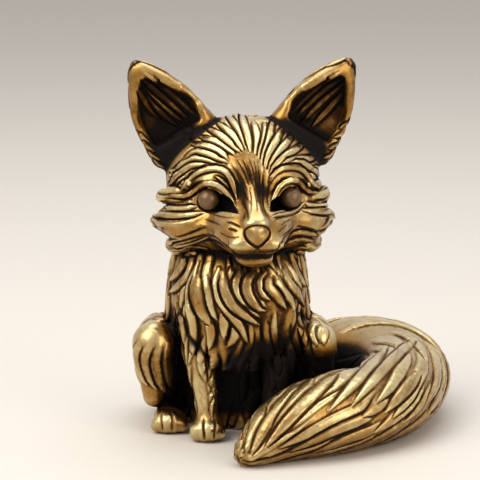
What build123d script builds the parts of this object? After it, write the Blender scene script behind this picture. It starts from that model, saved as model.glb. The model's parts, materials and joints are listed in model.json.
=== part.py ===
from build123d import *
import math
import os

os.makedirs("parts", exist_ok=True)

# A sitting fox, cast in brass in separate pieces that are brazed together.
# Millimetres. The table is z = 0, the fox faces -Y, and its left side is +X.
# The origin is in the flat seat under the trunk, below the neck.

# Joints
brazing_gap = 0.05

# Trunk, from the seat to the top of the neck, which the head sits over
trunk_height = 23.4
trunk_width = 16.0
trunk_depth = 17.2
trunk_shift = -0.25
trunk_ring_shares = (
    # height, middle (towards the back), half width, half depth
    (0.00, 0.25, 0.80, 0.78),
    (0.05, 0.26, 0.92, 0.91),
    (0.19, 0.27, 0.98, 0.95),
    (0.38, 0.19, 1.00, 0.98),
    (0.58, 0.05, 1.00, 0.98),
    (0.75, 0.00, 0.95, 0.86),
    (0.88, 0.00, 0.88, 0.76),
    (1.00, 0.00, 0.70, 0.63),
)

# Ruff, the full chest fur in front of the trunk
ruff_width = 13.4
ruff_height = 12.8
ruff_thickness = 9.8
ruff_lock_count = 7
ruff_lock_radius = 1.1
ruff_lock_tip = 0.3
ruff_lock_length = 6.0

# Head
head_turn = 7.0
head_shift = 0.3
head_axis_back = -1.0
skull_width = 16.8
skull_depth = 15.2
skull_height = 13.6
skull_lift = 4.7
cheek_width = 18.6
cheek_depth = 10.4
cheek_height = 8.6
cheek_drop = 4.2
cheek_forward = 2.2
muzzle_length = 5.9
muzzle_width = 9.6
muzzle_height = 8.0
muzzle_drop = 3.9
muzzle_ring_shares = (
    # forward, drop of the middle, half width, half height
    (-0.35, -0.04, 1.00, 1.00),
    (0.10, 0.03, 0.93, 0.88),
    (0.45, 0.08, 0.80, 0.72),
    (0.72, 0.11, 0.66, 0.56),
    (0.90, 0.10, 0.48, 0.40),
    (1.00, 0.07, 0.24, 0.20),
)
nose_width = 2.85
nose_height = 2.2
nose_thickness = 2.0
nose_sunk = 0.8
nose_rise = 0.85
chin_width = 4.6
chin_depth = 5.4
chin_height = 2.8
bridge_radius = 2.1
bridge_tip_radius = 1.25
bridge_drop = 0.8
tuft_radius = 1.7
tuft_tip_radius = 0.35
tuft_shares = (
    # root drop, tip drop (shares of the skull's height), tip reach (share of the cheek's width)
    (0.16, 0.14, 0.505),
    (0.32, 0.34, 0.54),
    (0.45, 0.54, 0.45),
)

# Eyes, turned beads on short stems
eye_diameter = 2.04
eye_spacing = 9.0
eye_drop = 1.1
eye_sunk = 0.55
eye_stem_diameter = 0.9
eye_stem_length = 1.8
socket_width = 4.6
socket_height = 2.8
socket_depth = 2.4
lid_width = 5.2
lid_height = 3.4
lid_share = 0.20
eye_tilt = 14.0

# Ears, cupped leaves
ear_length = 11.6
ear_width = 8.5
ear_thickness = 4.6
ear_wall = 0.9
ear_floor = 2.6
ear_spread = 33.0
ear_seat_across = 5.55
ear_seat_rise = 2.9
ear_seat_back = 0.3
ear_facing = 14.0
ear_spigot_diameter = 1.8
ear_spigot_length = 2.6
ear_ring_shares = (
    # along the ear, half width, half thickness
    (0.00, 0.97, 1.00),
    (0.22, 1.00, 1.00),
    (0.48, 0.88, 0.90),
    (0.72, 0.64, 0.68),
    (0.89, 0.37, 0.42),
    (0.97, 0.20, 0.24),
    (1.00, 0.08, 0.11),
)

# Forelegs, straight under the chest
foreleg_length = 13.6
foreleg_ring_shares = (
    # height, share of the way from the paw to the shoulder, half width, half depth
    (0.06, 0.00, 0.74, 0.80),
    (0.20, 0.06, 0.78, 0.80),
    (0.40, 0.32, 0.90, 0.92),
    (0.62, 0.66, 1.10, 1.12),
    (0.82, 0.90, 1.30, 1.34),
    (1.00, 1.00, 1.10, 1.16),
)
foreleg_seat_shares = (0.66, 0.62)
foreleg_diameter = 3.1
paw_spacing = 6.8
shoulder_spacing = 9.6
paw_forward = 6.4
shoulder_forward = 4.3
foreleg_spigot_diameter = 1.6
foreleg_spigot_length = 5.0

# Paws
paw_width = 3.9
paw_length = 4.7
paw_height = 2.7
toe_count = 4
toe_width = 1.44
toe_spacing = 0.92
toe_length = 2.0
toe_height = 1.9
toe_curve_share = 0.8

# Hind legs, folded beside the trunk
hip_shift = -0.6
knee_spacing = 17.4
knee_forward = 3.4
knee_height = 10.2
knee_diameter = 4.6
haunch_spacing = 16.6
haunch_back = 2.6
haunch_height = 7.3
haunch_width = 6.2
haunch_length = 13.4
haunch_depth = 9.4
haunch_tilt = 18.0
shin_spacing = 16.2
shin_diameter = 2.6
hind_foot_spacing = 14.4
hind_foot_length = 9.0
hind_foot_diameter = 2.9
hind_paw_forward = 3.0
hind_spigot_diameter = 2.0
hind_spigot_length = 3.0

# Tail, a brush that curls round the left side and lies in front
tail_reach = 18.4
tail_run = 30.6
tail_width = 10.0
tail_height = 9.0
tail_path_shares = (
    # across (of the reach), forward of the rump (of the run), thickness
    (0.10, 0.13, 0.48),
    (0.33, -0.05, 0.72),
    (0.68, -0.09, 0.98),
    (0.95, 0.08, 1.06),
    (1.00, 0.32, 1.02),
    (0.88, 0.56, 1.00),
    (0.63, 0.73, 0.97),
    (0.37, 0.83, 0.88),
    (0.18, 0.90, 0.66),
    (0.06, 0.96, 0.40),
)
tail_flat = 0.3

# Dowels inside the neck and the tail's root
neck_dowel_diameter = 3.0
neck_dowel_length = 9.0
tail_dowel_diameter = 2.2
tail_dowel_length = 9.0

# Points round each oval section, and the stations of an egg as turns from its middle
ring_points = 12
egg_turns = (-84, -66, -44, -22, 0, 22, 44, 66, 84)


def ring(middle, along, across, half_width, half_depth):
    """One closed oval section, square to along, with its half width towards across."""
    plane = Plane(origin=middle, z_dir=along, x_dir=across)
    points = []
    for number in range(ring_points):
        turn = 2 * math.pi * number / ring_points
        local = Vector(half_width * math.cos(turn), half_depth * math.sin(turn), 0)
        points.append(plane.from_local_coords(local))
    return make_face(Edge.make_spline(points, periodic=True))


def oval_loft(stations, side):
    """A smooth body through oval stations: (point, half width, half depth). side is square to the path."""
    rings = []
    last = len(stations) - 1
    for number, (middle, half_width, half_depth) in enumerate(stations):
        before = stations[max(number - 1, 0)][0]
        after = stations[min(number + 1, last)][0]
        along = after - before
        across = along.cross(side)
        rings.append(ring(middle, along, across, half_width, half_depth))
    return loft(rings)


def tapered_lock(root, tip, root_radius, tip_radius, side):
    """A pointed tuft from root to tip, full near its root."""
    belly_share, belly_radius_share = 0.35, 1.0
    neck_share, neck_radius_share = 0.75, 0.62
    way = tip - root
    return oval_loft(
        [
            (root, root_radius, root_radius),
            (root + way * belly_share, root_radius * belly_radius_share, root_radius * belly_radius_share),
            (
                root + way * neck_share,
                tip_radius + (root_radius - tip_radius) * neck_radius_share,
                tip_radius + (root_radius - tip_radius) * neck_radius_share,
            ),
            (tip, tip_radius, tip_radius),
        ],
        side,
    )


def ellipsoid(middle, width, depth, height):
    """An egg of the given full sizes along X, Y and Z."""
    return Pos(*middle) * scale(Sphere(1), by=(width / 2, depth / 2, height / 2))


def long_egg(width, depth, height):
    """An egg with its long axis along Y and its ends a little blunt."""
    stations = []
    for turn in egg_turns:
        along = math.sin(math.radians(turn))
        about = math.cos(math.radians(turn))
        middle = Vector(0, along * depth / 2, 0)
        stations.append((middle, about * width / 2, about * height / 2))
    rings = [ring(middle, (0, 1, 0), (1, 0, 0), wide, high) for middle, wide, high in stations]
    return loft(rings)


def pin(start, towards, diameter, length):
    """A round pin from start, pointing towards a direction."""
    plane = Plane(origin=start, z_dir=towards)
    return plane * Cylinder(diameter / 2, length, align=(Align.CENTER, Align.CENTER, Align.MIN))


def pin_hole(start, towards, diameter, length):
    """The hole that such a pin is brazed in."""
    return pin(start, towards, diameter + 2 * brazing_gap, length + brazing_gap)


def above_table(piece):
    """The piece with its underside cut flat on the table."""
    return split(piece, bisect_by=Plane.XY, keep=Keep.TOP)


def main_solid(piece):
    """The largest solid of a piece that has been cut against its neighbours."""
    return max(piece.solids(), key=lambda solid: solid.volume)


# Trunk


def trunk_section(share):
    """(middle y, half width, half depth) of the trunk at a share of its height."""
    heights = [row[0] for row in trunk_ring_shares]
    upper = next(n for n, height in enumerate(heights) if height >= share)
    lower = max(upper - 1, 0)
    gap = heights[upper] - heights[lower]
    part = (share - heights[lower]) / gap if gap else 0
    a, b = trunk_ring_shares[lower], trunk_ring_shares[upper]
    middle, wide, deep = (a[n] + (b[n] - a[n]) * part for n in (1, 2, 3))
    return middle * trunk_depth, wide * trunk_width / 2, deep * trunk_depth / 2


def make_torso():
    rings = []
    for height, middle, wide, deep in trunk_ring_shares:
        centre = Vector(trunk_shift, middle * trunk_depth, height * trunk_height)
        rings.append(
            ring(centre, (0, 0, 1), (1, 0, 0), wide * trunk_width / 2, deep * trunk_depth / 2)
        )
    return loft(rings)


ruff_middle_share = 0.66
ruff_forward_share = 0.22
ruff_z = trunk_height * ruff_middle_share
ruff_y = -trunk_depth * ruff_forward_share


def make_ruff():
    """The chest fur: one full mass with a row of hanging locks along its hem."""
    mass = ellipsoid((0, ruff_y, ruff_z), ruff_width, ruff_thickness, ruff_height)
    fan_share, hem_share, tip_share = 0.78, 0.30, 0.16
    for number in range(ruff_lock_count):
        across = (2 * number / (ruff_lock_count - 1) - 1) if ruff_lock_count > 1 else 0
        x = across * ruff_width / 2 * fan_share
        lean = math.sqrt(1 - (across * fan_share) ** 2)
        y = ruff_y - ruff_thickness / 2 * lean * fan_share + ruff_lock_radius * hem_share
        root_z = ruff_z - ruff_height * hem_share * lean + ruff_lock_length * hem_share
        root = Vector(x, y, root_z)
        tip = Vector(x * fan_share, y + ruff_lock_radius * tip_share, root_z - ruff_lock_length)
        lock = tapered_lock(root, tip, ruff_lock_radius, ruff_lock_tip, Vector(0, 1, 0))
        mass = mass + lock
    return mass


def make_trunk_blank():
    return make_torso() + make_ruff()


# Head, built facing -Y about its own turning axis and then turned

skull_z = trunk_height + skull_lift
head_place = Pos(head_shift, head_axis_back, 0) * Rot(0, 0, head_turn)


def skull_front(x, z):
    """How far forward the skull's surface lies at a place on the face, as a y value."""
    left_over = 1 - (2 * x / skull_width) ** 2 - (2 * (z - skull_z) / skull_height) ** 2
    return -skull_depth / 2 * math.sqrt(max(left_over, 0))


muzzle_z = skull_z - muzzle_drop
muzzle_root_y = skull_front(0, muzzle_z)
nose_y = muzzle_root_y - muzzle_length + nose_sunk
nose_z = muzzle_z + nose_rise


def make_muzzle():
    stations = []
    for forward, drop, wide, high in muzzle_ring_shares:
        middle = Vector(0, muzzle_root_y - forward * muzzle_length, muzzle_z - drop * muzzle_height)
        stations.append((middle, high * muzzle_height / 2, wide * muzzle_width / 2))
    return oval_loft(stations, Vector(1, 0, 0))


def make_bridge():
    """The bridge of the nose, from the brow down to the nose."""
    top = Vector(0, skull_front(0, skull_z) + bridge_radius, skull_z - bridge_drop)
    low = Vector(0, nose_y + bridge_tip_radius, nose_z + nose_height / 2 - bridge_tip_radius)
    middle_radius = (bridge_radius + bridge_tip_radius) / 2
    middle = (top + low) / 2 - Vector(0, 0, bridge_drop / 2)
    return oval_loft(
        [
            (top, bridge_radius, bridge_radius),
            (middle, middle_radius, middle_radius),
            (low, bridge_tip_radius, bridge_tip_radius),
        ],
        Vector(1, 0, 0),
    )


def eye_middle(side):
    """The middle of an eye bead, sunk in the face. side is 1 on the fox's left."""
    x = side * eye_spacing / 2
    z = skull_z - eye_drop
    return Vector(x, skull_front(x, z) + eye_sunk, z)


def eye_plane(side):
    """The plane of one eye: square to the face, its X axis along the opening."""
    eye = eye_middle(side)
    outward = Vector(
        eye.X / skull_width**2,
        skull_front(eye.X, eye.Z) / skull_depth**2,
        (eye.Z - skull_z) / skull_height**2,
    )
    tilt = math.radians(eye_tilt)
    return Plane(origin=eye, z_dir=outward, x_dir=(math.cos(tilt), 0, side * math.sin(tilt)))


def make_lids(side):
    """The rim round one eye."""
    rim = scale(Torus(1, lid_share), by=(lid_width / 2, lid_height / 2, lid_height / 2))
    return eye_plane(side) * Pos(0, 0, eye_sunk) * rim


def make_socket(side):
    """The hollow round one eye bead."""
    hollow = scale(Sphere(1), by=(socket_width / 2, socket_height / 2, socket_depth / 2))
    return eye_plane(side) * Pos(0, 0, eye_sunk) * hollow


def make_cheek_tufts(side):
    """Three tufts that fan out from one cheek."""
    tufts = []
    root_share, root_forward_share, tip_forward_share = 0.30, 0.10, 0.04
    for root_drop, tip_drop, reach in tuft_shares:
        root = Vector(
            side * cheek_width * root_share,
            -cheek_forward - cheek_depth * root_forward_share,
            skull_z - root_drop * skull_height,
        )
        tip = Vector(
            side * cheek_width * reach,
            -cheek_forward * tip_forward_share,
            skull_z - tip_drop * skull_height,
        )
        tufts.append(tapered_lock(root, tip, tuft_radius, tuft_tip_radius, Vector(0, 0, 1)))
    return tufts


def make_head_blank():
    """The head before its seats are cut, in its own frame."""
    head = ellipsoid((0, 0, skull_z), skull_width, skull_depth, skull_height)
    cheek_z = skull_z - cheek_drop
    head = head + ellipsoid((0, -cheek_forward, cheek_z), cheek_width, cheek_depth, cheek_height)
    head = head + make_muzzle() + make_bridge()
    chin_rise_share = 0.25
    chin_z = cheek_z - cheek_height / 2 + chin_height / 2 + chin_height * chin_rise_share
    chin_y = muzzle_root_y - muzzle_length / 2 + chin_depth / 4
    head = head + ellipsoid((0, chin_y, chin_z), chin_width, chin_depth, chin_height)
    for side in (-1, 1):
        for tuft in make_cheek_tufts(side):
            head = head + tuft
    head = head + ellipsoid((0, nose_y, nose_z), nose_width, nose_thickness, nose_height)
    for side in (-1, 1):
        head = head + make_lids(side) - make_socket(side)
    return head


# Ears, built standing on their root and then set on the skull


def ear_place(side):
    """Where an ear's root sits on the skull, and how it leans and faces."""
    x = side * ear_seat_across
    z = skull_z + ear_seat_rise
    root = Pos(x, ear_seat_back, z)
    return root * Rot(0, side * ear_spread, 0) * Rot(0, 0, side * ear_facing)


def make_ear_leaf():
    """A cupped leaf along +Z with its mouth towards -Y, over a solid floor."""
    outer, hollow = [], []
    for along, wide, thick in ear_ring_shares:
        z = along * ear_length
        half_width = wide * ear_width / 2
        half_thickness = thick * ear_thickness / 2
        outer.append(ring(Vector(0, 0, z), (0, 0, 1), (1, 0, 0), half_width, half_thickness))
    floor_share = ear_floor / ear_length
    top_share = 1 - 2 * ear_wall / ear_length
    for along, wide, thick in ear_ring_shares:
        z = (floor_share + (top_share - floor_share) * along) * ear_length
        half_width = max(wide * ear_width / 2 - ear_wall, ear_wall / 2 * wide)
        half_thickness = thick * ear_thickness / 2
        middle = Vector(0, -ear_wall, z)
        hollow.append(ring(middle, (0, 0, 1), (1, 0, 0), half_width, half_thickness))
    return loft(outer) - loft(hollow)


# Legs


def make_paw(x, y):
    """A flat paw with its toes at the front. x, y is the middle of the paw."""
    paw = ellipsoid((x, y, paw_height / 2), paw_width, paw_length, paw_height)
    for number in range(toe_count):
        off = (number - (toe_count - 1) / 2) * toe_spacing
        lag = math.sqrt(max(1 - (toe_curve_share * off / (paw_width / 2)) ** 2, 0))
        toe_y = y - paw_length / 2 * lag + toe_length / 2
        paw = paw + ellipsoid((x + off, toe_y, toe_height / 2), toe_width, toe_length, toe_height)
    return paw


def foreleg_point(side, way, height):
    """The middle of the foreleg, a share of the way from the paw to the shoulder."""
    low = Vector(side * paw_spacing / 2, -paw_forward, 0)
    high = Vector(side * shoulder_spacing / 2, -shoulder_forward, 0)
    point = low + (high - low) * way
    return Vector(point.X, point.Y, height * foreleg_length)


def make_foreleg_blank(side):
    stations = []
    for height, way, wide, deep in foreleg_ring_shares:
        middle = foreleg_point(side, way, height)
        half = foreleg_diameter / 2
        stations.append((middle, deep * half, wide * half))
    leg = oval_loft(stations, Vector(1, 0, 0))
    return leg + make_paw(side * paw_spacing / 2, -paw_forward)


def make_hind_leg_blank(side):
    """Haunch, knee, shin and foot of a folded hind leg."""
    haunch_x = hip_shift + side * haunch_spacing / 2
    haunch_turn = Pos(haunch_x, haunch_back, haunch_height) * Rot(-haunch_tilt, 0, 0)
    haunch = haunch_turn * long_egg(haunch_width, haunch_length, haunch_depth)
    knee = Vector(hip_shift + side * knee_spacing / 2, -knee_forward, knee_height)
    knee_ball = Pos(*knee) * long_egg(knee_diameter, knee_diameter, knee_diameter)
    foot_x = hip_shift + side * hind_foot_spacing / 2
    paw_y = -hind_paw_forward
    ankle = Vector(hip_shift + side * shin_spacing / 2, paw_y + paw_length / 2, hind_foot_diameter)
    knee_half = knee_diameter / 2
    shin_half = shin_diameter / 2
    middle_share, middle_radius_share = 0.5, 0.85
    shin = oval_loft(
        [
            (knee, knee_half * middle_radius_share, knee_half * middle_radius_share),
            (
                knee + (ankle - knee) * middle_share,
                (knee_half + shin_half) / 2,
                (knee_half + shin_half) / 2,
            ),
            (ankle, shin_half, shin_half),
        ],
        Vector(1, 0, 0),
    )
    heel = Vector(foot_x, paw_y + hind_foot_length, hind_foot_diameter / 2)
    toe = Vector(foot_x, paw_y, hind_foot_diameter / 2)
    foot_half = hind_foot_diameter / 2
    rounded_share = 0.6
    foot = oval_loft(
        [
            (toe, foot_half, foot_half),
            (toe + (heel - toe) * middle_share, foot_half, foot_half),
            (heel - Vector(0, foot_half, 0), foot_half, foot_half),
            (heel, foot_half * rounded_share, foot_half * rounded_share),
        ],
        Vector(0, 0, 1),
    )
    return haunch + knee_ball + shin + foot + make_paw(foot_x, paw_y)


# Tail

rump_share = 0.19
rump_middle, _, rump_half_depth = trunk_section(rump_share)
rump_y = rump_middle + rump_half_depth


def tail_stations():
    stations = []
    for across, forward, thick in tail_path_shares:
        half_width = thick * tail_width / 2
        half_height = thick * tail_height / 2
        y = rump_y - forward * tail_run
        middle = Vector(across * tail_reach, y, half_height - tail_flat)
        stations.append((middle, half_width, half_height))
    return stations


def make_tail_blank():
    stations = tail_stations()
    tip, tip_half_width, tip_half_height = stations[-1]
    before = stations[-2][0]
    end_step_share, end_radius_share = 0.8, 0.45
    end = tip + (tip - before).normalized() * tip_half_width * end_step_share
    end_radius = tip_half_height * end_radius_share
    stations.append((Vector(end.X, end.Y, end_radius), end_radius, end_radius))
    return above_table(oval_loft(stations, Vector(0, 0, 1)))


# Put the figure together

trunk = make_trunk_blank()
nodes = {}

head_blank = head_place * make_head_blank()
head = head_blank - trunk

neck_dowel_start = Vector(head_shift, head_axis_back, trunk_height - neck_dowel_length / 2)
neck_dowel = pin(neck_dowel_start, (0, 0, 1), neck_dowel_diameter, neck_dowel_length)
neck_bore = Pos(0, 0, -brazing_gap) * pin_hole(
    neck_dowel_start, (0, 0, 1), neck_dowel_diameter, neck_dowel_length + brazing_gap
)
head = head - neck_bore
trunk = trunk - neck_bore
nodes["neck_dowel"] = neck_dowel

for side, name in ((-1, "right"), (1, "left")):
    seat = head_place * ear_place(side)
    root = seat.position
    axis = ((seat * Pos(0, 0, 1)).position - root).normalized()
    leaf = main_solid(seat * make_ear_leaf() - head_blank)
    spigot_start = root + axis * (ear_floor - ear_wall / 2)
    spigot_length = ear_floor + ear_spigot_length
    nodes[name + "_ear"] = leaf + pin(spigot_start, -axis, ear_spigot_diameter, spigot_length)
    head = head - pin_hole(spigot_start, -axis, ear_spigot_diameter, spigot_length)

for side, name in ((-1, "right"), (1, "left")):
    middle = head_place * Pos(*eye_middle(side))
    bead = middle * Sphere(eye_diameter / 2)
    inward = (head_place * Pos(0, 1, 0)).position - head_place.position
    stem = pin(middle.position, inward, eye_stem_diameter, eye_diameter / 2 + eye_stem_length)
    nodes[name + "_eye"] = bead + stem
    head = head - middle * Sphere(eye_diameter / 2 + brazing_gap)
    head = head - pin_hole(
        middle.position, inward, eye_stem_diameter, eye_diameter / 2 + eye_stem_length
    )

hind_legs = {}
forelegs = {}
for side, name in ((-1, "right"), (1, "left")):
    root = foreleg_point(side, *foreleg_seat_shares)
    inward = Vector(0, 1, 0)
    spigot = pin(root, inward, foreleg_spigot_diameter, foreleg_spigot_length)
    leg = above_table(main_solid(make_foreleg_blank(side) - trunk))
    forelegs[name] = (leg, spigot, root, inward)

    root_x = hip_shift + side * (haunch_spacing / 2 + haunch_width / 4)
    root = Vector(root_x, haunch_back, haunch_height)
    inward = Vector(-side, 0, 0)
    spigot = pin(root, inward, hind_spigot_diameter, hind_spigot_length + haunch_width / 2)
    leg = above_table(main_solid(make_hind_leg_blank(side) - trunk - forelegs[name][0]))
    hind_legs[name] = (leg, spigot, root, inward)

tail = make_tail_blank() - trunk - hind_legs["left"][0] - forelegs["left"][0]
tail = main_solid(tail)
tail_root, _, _ = tail_stations()[0]
tail_next, _, _ = tail_stations()[1]
tail_way = (tail_next - tail_root).normalized()
tail_dowel_start = tail_root
tail_dowel = pin(tail_dowel_start, tail_way, tail_dowel_diameter, tail_dowel_length)
tail_bore = pin_hole(
    tail_dowel_start - tail_way * brazing_gap,
    tail_way,
    tail_dowel_diameter,
    tail_dowel_length + brazing_gap,
)
tail = tail - tail_bore
trunk = trunk - tail_bore
nodes["tail_dowel"] = tail_dowel
nodes["tail"] = tail

for name, (leg, spigot, root, inward) in forelegs.items():
    nodes[name + "_foreleg"] = leg + spigot
    trunk = trunk - pin_hole(root, inward, foreleg_spigot_diameter, foreleg_spigot_length)
for name, (leg, spigot, root, inward) in hind_legs.items():
    nodes[name + "_hind_leg"] = leg + spigot
    trunk = trunk - pin_hole(
        root, inward, hind_spigot_diameter, hind_spigot_length + haunch_width / 2
    )

nodes["trunk"] = trunk
nodes["head"] = head

for name, piece in nodes.items():
    export_step(piece, f"parts/{name}.step")
    box = piece.bounding_box()
    print(name, len(piece.solids()), round(piece.volume, 2), box.min, box.max)
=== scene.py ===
# %% [markdown]
# # A small brass fox
#
# The fox is a palm-sized lost-wax casting. A sculptor carved its fur into wax, lock by lock, and the brass
# copy was darkened all over and then rubbed bright, so the grooves stay black-brown and the locks shine.
# This lesson makes it the way the wax was made. The solids of the packed model become one block of clay,
# the fur is laid on it in strands, the lines are cut into it, and then it is parted again at the seams
# where the real pieces meet.

# %% Load the packed model
import json
import math

import bmesh
import bpy
import numpy as np
import openvdb as vdb
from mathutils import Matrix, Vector, noise

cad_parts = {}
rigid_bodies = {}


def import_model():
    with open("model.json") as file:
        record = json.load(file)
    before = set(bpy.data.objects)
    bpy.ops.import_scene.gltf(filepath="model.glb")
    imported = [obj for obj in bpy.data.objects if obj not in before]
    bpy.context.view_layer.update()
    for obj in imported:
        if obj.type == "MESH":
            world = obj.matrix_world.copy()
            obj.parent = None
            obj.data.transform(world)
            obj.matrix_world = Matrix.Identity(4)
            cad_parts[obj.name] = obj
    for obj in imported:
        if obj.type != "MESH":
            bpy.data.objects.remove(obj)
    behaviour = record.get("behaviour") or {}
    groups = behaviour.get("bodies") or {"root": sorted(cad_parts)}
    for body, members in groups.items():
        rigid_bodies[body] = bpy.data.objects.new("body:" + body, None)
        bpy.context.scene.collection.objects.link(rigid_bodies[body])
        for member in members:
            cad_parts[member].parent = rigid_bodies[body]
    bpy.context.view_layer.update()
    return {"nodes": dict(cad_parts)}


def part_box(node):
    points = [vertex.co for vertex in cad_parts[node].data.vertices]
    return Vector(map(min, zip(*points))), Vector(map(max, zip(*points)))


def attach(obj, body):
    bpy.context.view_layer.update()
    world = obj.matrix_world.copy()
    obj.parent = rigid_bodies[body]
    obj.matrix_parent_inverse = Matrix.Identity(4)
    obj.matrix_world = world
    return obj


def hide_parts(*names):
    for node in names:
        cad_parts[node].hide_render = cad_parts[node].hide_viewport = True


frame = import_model()
METRE = 0.001  # one millimetre in metres


def add_object(name, data):
    """A new object in the scene that shows a mesh, a lamp or a camera."""
    added = bpy.data.objects.new(name, data)
    bpy.context.scene.collection.objects.link(added)
    return added


print("solids:", sorted(frame["nodes"]))

# %% [markdown]
# ## Camera
#
# The photograph was taken close and from a little above. Its view is found from things that must touch one
# plane: the paws and the underside of the tail. The camera stands a quarter of a metre away with a long
# lens, so that the near paws and the far ear keep the sizes they have in the photograph.

# %% Camera
PHOTO_WIDTH = 480  # pixels
VIEW_DOWN = math.radians(11)
VIEW_DISTANCE = 260.0  # mm
VIEW_PIXELS = 2405.0  # focal length, in pixels of the photograph
VIEW_AIM = np.array([0.0, -4.0, 21.6])  # mm
SENSOR_WIDTH = 36.0  # mm
CLIP_RANGE = (0.01, 20.0)  # m

sight = np.array([0.0, math.cos(VIEW_DOWN), -math.sin(VIEW_DOWN)])
sight_right = np.array([1.0, 0.0, 0.0])
sight_up = np.cross(sight_right, sight)
eye_point = VIEW_AIM - sight * VIEW_DISTANCE

camera_data = bpy.data.cameras.new("camera")
camera_data.sensor_width = SENSOR_WIDTH
camera_data.lens = VIEW_PIXELS / PHOTO_WIDTH * SENSOR_WIDTH
camera_data.clip_start, camera_data.clip_end = CLIP_RANGE
camera = add_object("camera", camera_data)
camera.location = Vector(eye_point * METRE)
camera.rotation_euler = Vector(sight).to_track_quat("-Z", "Y").to_euler()
bpy.context.scene.camera = camera
print("camera at", [round(v, 4) for v in camera.location])


def photo_rays(pixels):
    """Unit directions of the rays through pixels of the photograph."""
    pixels = np.asarray(pixels, float)
    across = (pixels[:, 0] - PHOTO_WIDTH / 2) / VIEW_PIXELS
    down = (pixels[:, 1] - PHOTO_WIDTH / 2) / VIEW_PIXELS
    rays = sight + across[:, None] * sight_right - down[:, None] * sight_up
    return rays / np.linalg.norm(rays, axis=1, keepdims=True)


# %% [markdown]
# ## Clay
#
# A mesh is hard to carve: every lock that crosses another needs a cut and a join. A distance field is
# easy. It is a grid of small cells, and each holds its distance to the surface, less than zero inside.
# Adding a lock keeps the smaller of two distances, cutting a groove keeps the larger, and blurring the
# grid rounds every hard corner, as a warm tool does on wax. OpenVDB makes the field and reads the mesh
# back.

# %% From a solid to a field
BAND_CELLS = 7  # cells on each side of the surface in which distances are kept
BLUR_REACH = 2.6  # widths of a blur, beyond which it no longer counts
TINY_LENGTH, TINY_SQUARE, TINY_SLOPE = 1e-6, 1e-9, 1e-4  # the least that may be divided by
node_boxes = {name: np.array(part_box(name)) / METRE for name in frame["nodes"]}
print("boxes of", len(node_boxes), "solids")


def node_triangles(name):
    """Corners, in millimetres, and triangles of one solid."""
    mesh = frame["nodes"][name].data
    mesh.calc_loop_triangles()
    corners = np.empty(len(mesh.vertices) * 3, np.float32)
    mesh.vertices.foreach_get("co", corners)
    triangles = np.empty(len(mesh.loop_triangles) * 3, np.int32)
    mesh.loop_triangles.foreach_get("vertices", triangles)
    return corners.reshape(-1, 3) / METRE, triangles.reshape(-1, 3)


def level_set(name, cell):
    """The distance field of one solid, on a grid of cells."""
    corners, triangles = node_triangles(name)
    steps = vdb.createLinearTransform(voxelSize=cell)
    return vdb.FloatGrid.createLevelSetFromPolygons(
        corners, triangles=triangles, transform=steps, halfWidth=BAND_CELLS
    )


def read_grid(grid, low, count):
    """A block of a field as an array. low is its first cell."""
    field = np.empty(count, np.float32)
    grid.copyToArray(field, ijk=tuple(int(v) for v in low))
    return field


def blurred(field, cells):
    """The field after a Gaussian blur of that many cells."""
    reach = int(math.ceil(cells * BLUR_REACH))
    weights = np.exp(-0.5 * (np.arange(-reach, reach + 1) / cells) ** 2)
    weights = (weights / weights.sum()).astype(np.float32)
    for axis in range(3):
        padding = [(0, 0)] * 3
        padding[axis] = (reach, reach)
        padded = np.pad(field, padding, mode="edge")
        total = np.zeros_like(field)
        window = [slice(None)] * 3
        for number, weight in enumerate(weights):
            window[axis] = slice(number, number + field.shape[axis])
            total += weight * padded[tuple(window)]
        field = total
    return field


def between_cells(field, place):
    """The field's value at places that are given in cells, mixed from the eight cells round each."""
    corner = np.clip(np.floor(place).astype(int), 0, np.array(field.shape) - 2)
    part = np.clip(place - corner, 0, 1)
    total = np.zeros(len(place))
    for step in np.ndindex(2, 2, 2):
        weight = np.prod(np.where(np.array(step) == 1, part, 1 - part), axis=1)
        i, j, k = (corner + step).T
        total += weight * field[i, j, k]
    return total


def dot(axes, way):
    """How far cells lie along a direction, from the three coordinates of the cells."""
    return axes[0] * way[0] + axes[1] * way[1] + axes[2] * way[2]


def unit(directions):
    """The directions with a length of one."""
    return directions / np.maximum(np.linalg.norm(directions, axis=-1, keepdims=True), TINY_LENGTH)


# %% [markdown]
# ## Tools for the clay
#
# Each tool works on a small window of the grid. `at` reads the field between cells, `outward` gives the
# direction away from the surface, `onto` brings points back to the skin, and `seen` finds the points of
# the skin that lie under pixels of the photograph. The other tools join or cut tubes, ribbons and eggs.

# %% Clay
CLAY_ROOM = 1.1  # mm of free grid round the solids
SOFTEN = 0.3  # mm
ONTO_ROUNDS = 4
ONTO_STEP = 0.5  # mm
RAY_STEPS = 240
RAY_HIT = 0.01  # mm
RAY_STRIDE_SHARE = 0.8
RAY_LEAST_STRIDE = 0.02  # mm
EDGE_CELLS = 1.5  # cells round a stroke in which its edge still matters
EGG_EDGE_CELLS = 2
ROUND_SHARE = 0.25  # of a ribbon's top: 1 is an ellipse, 0 is nearly flat
FUR_DEPTH = 0.2  # mm
SMOOTH_FADE = 0.9  # mm


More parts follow.
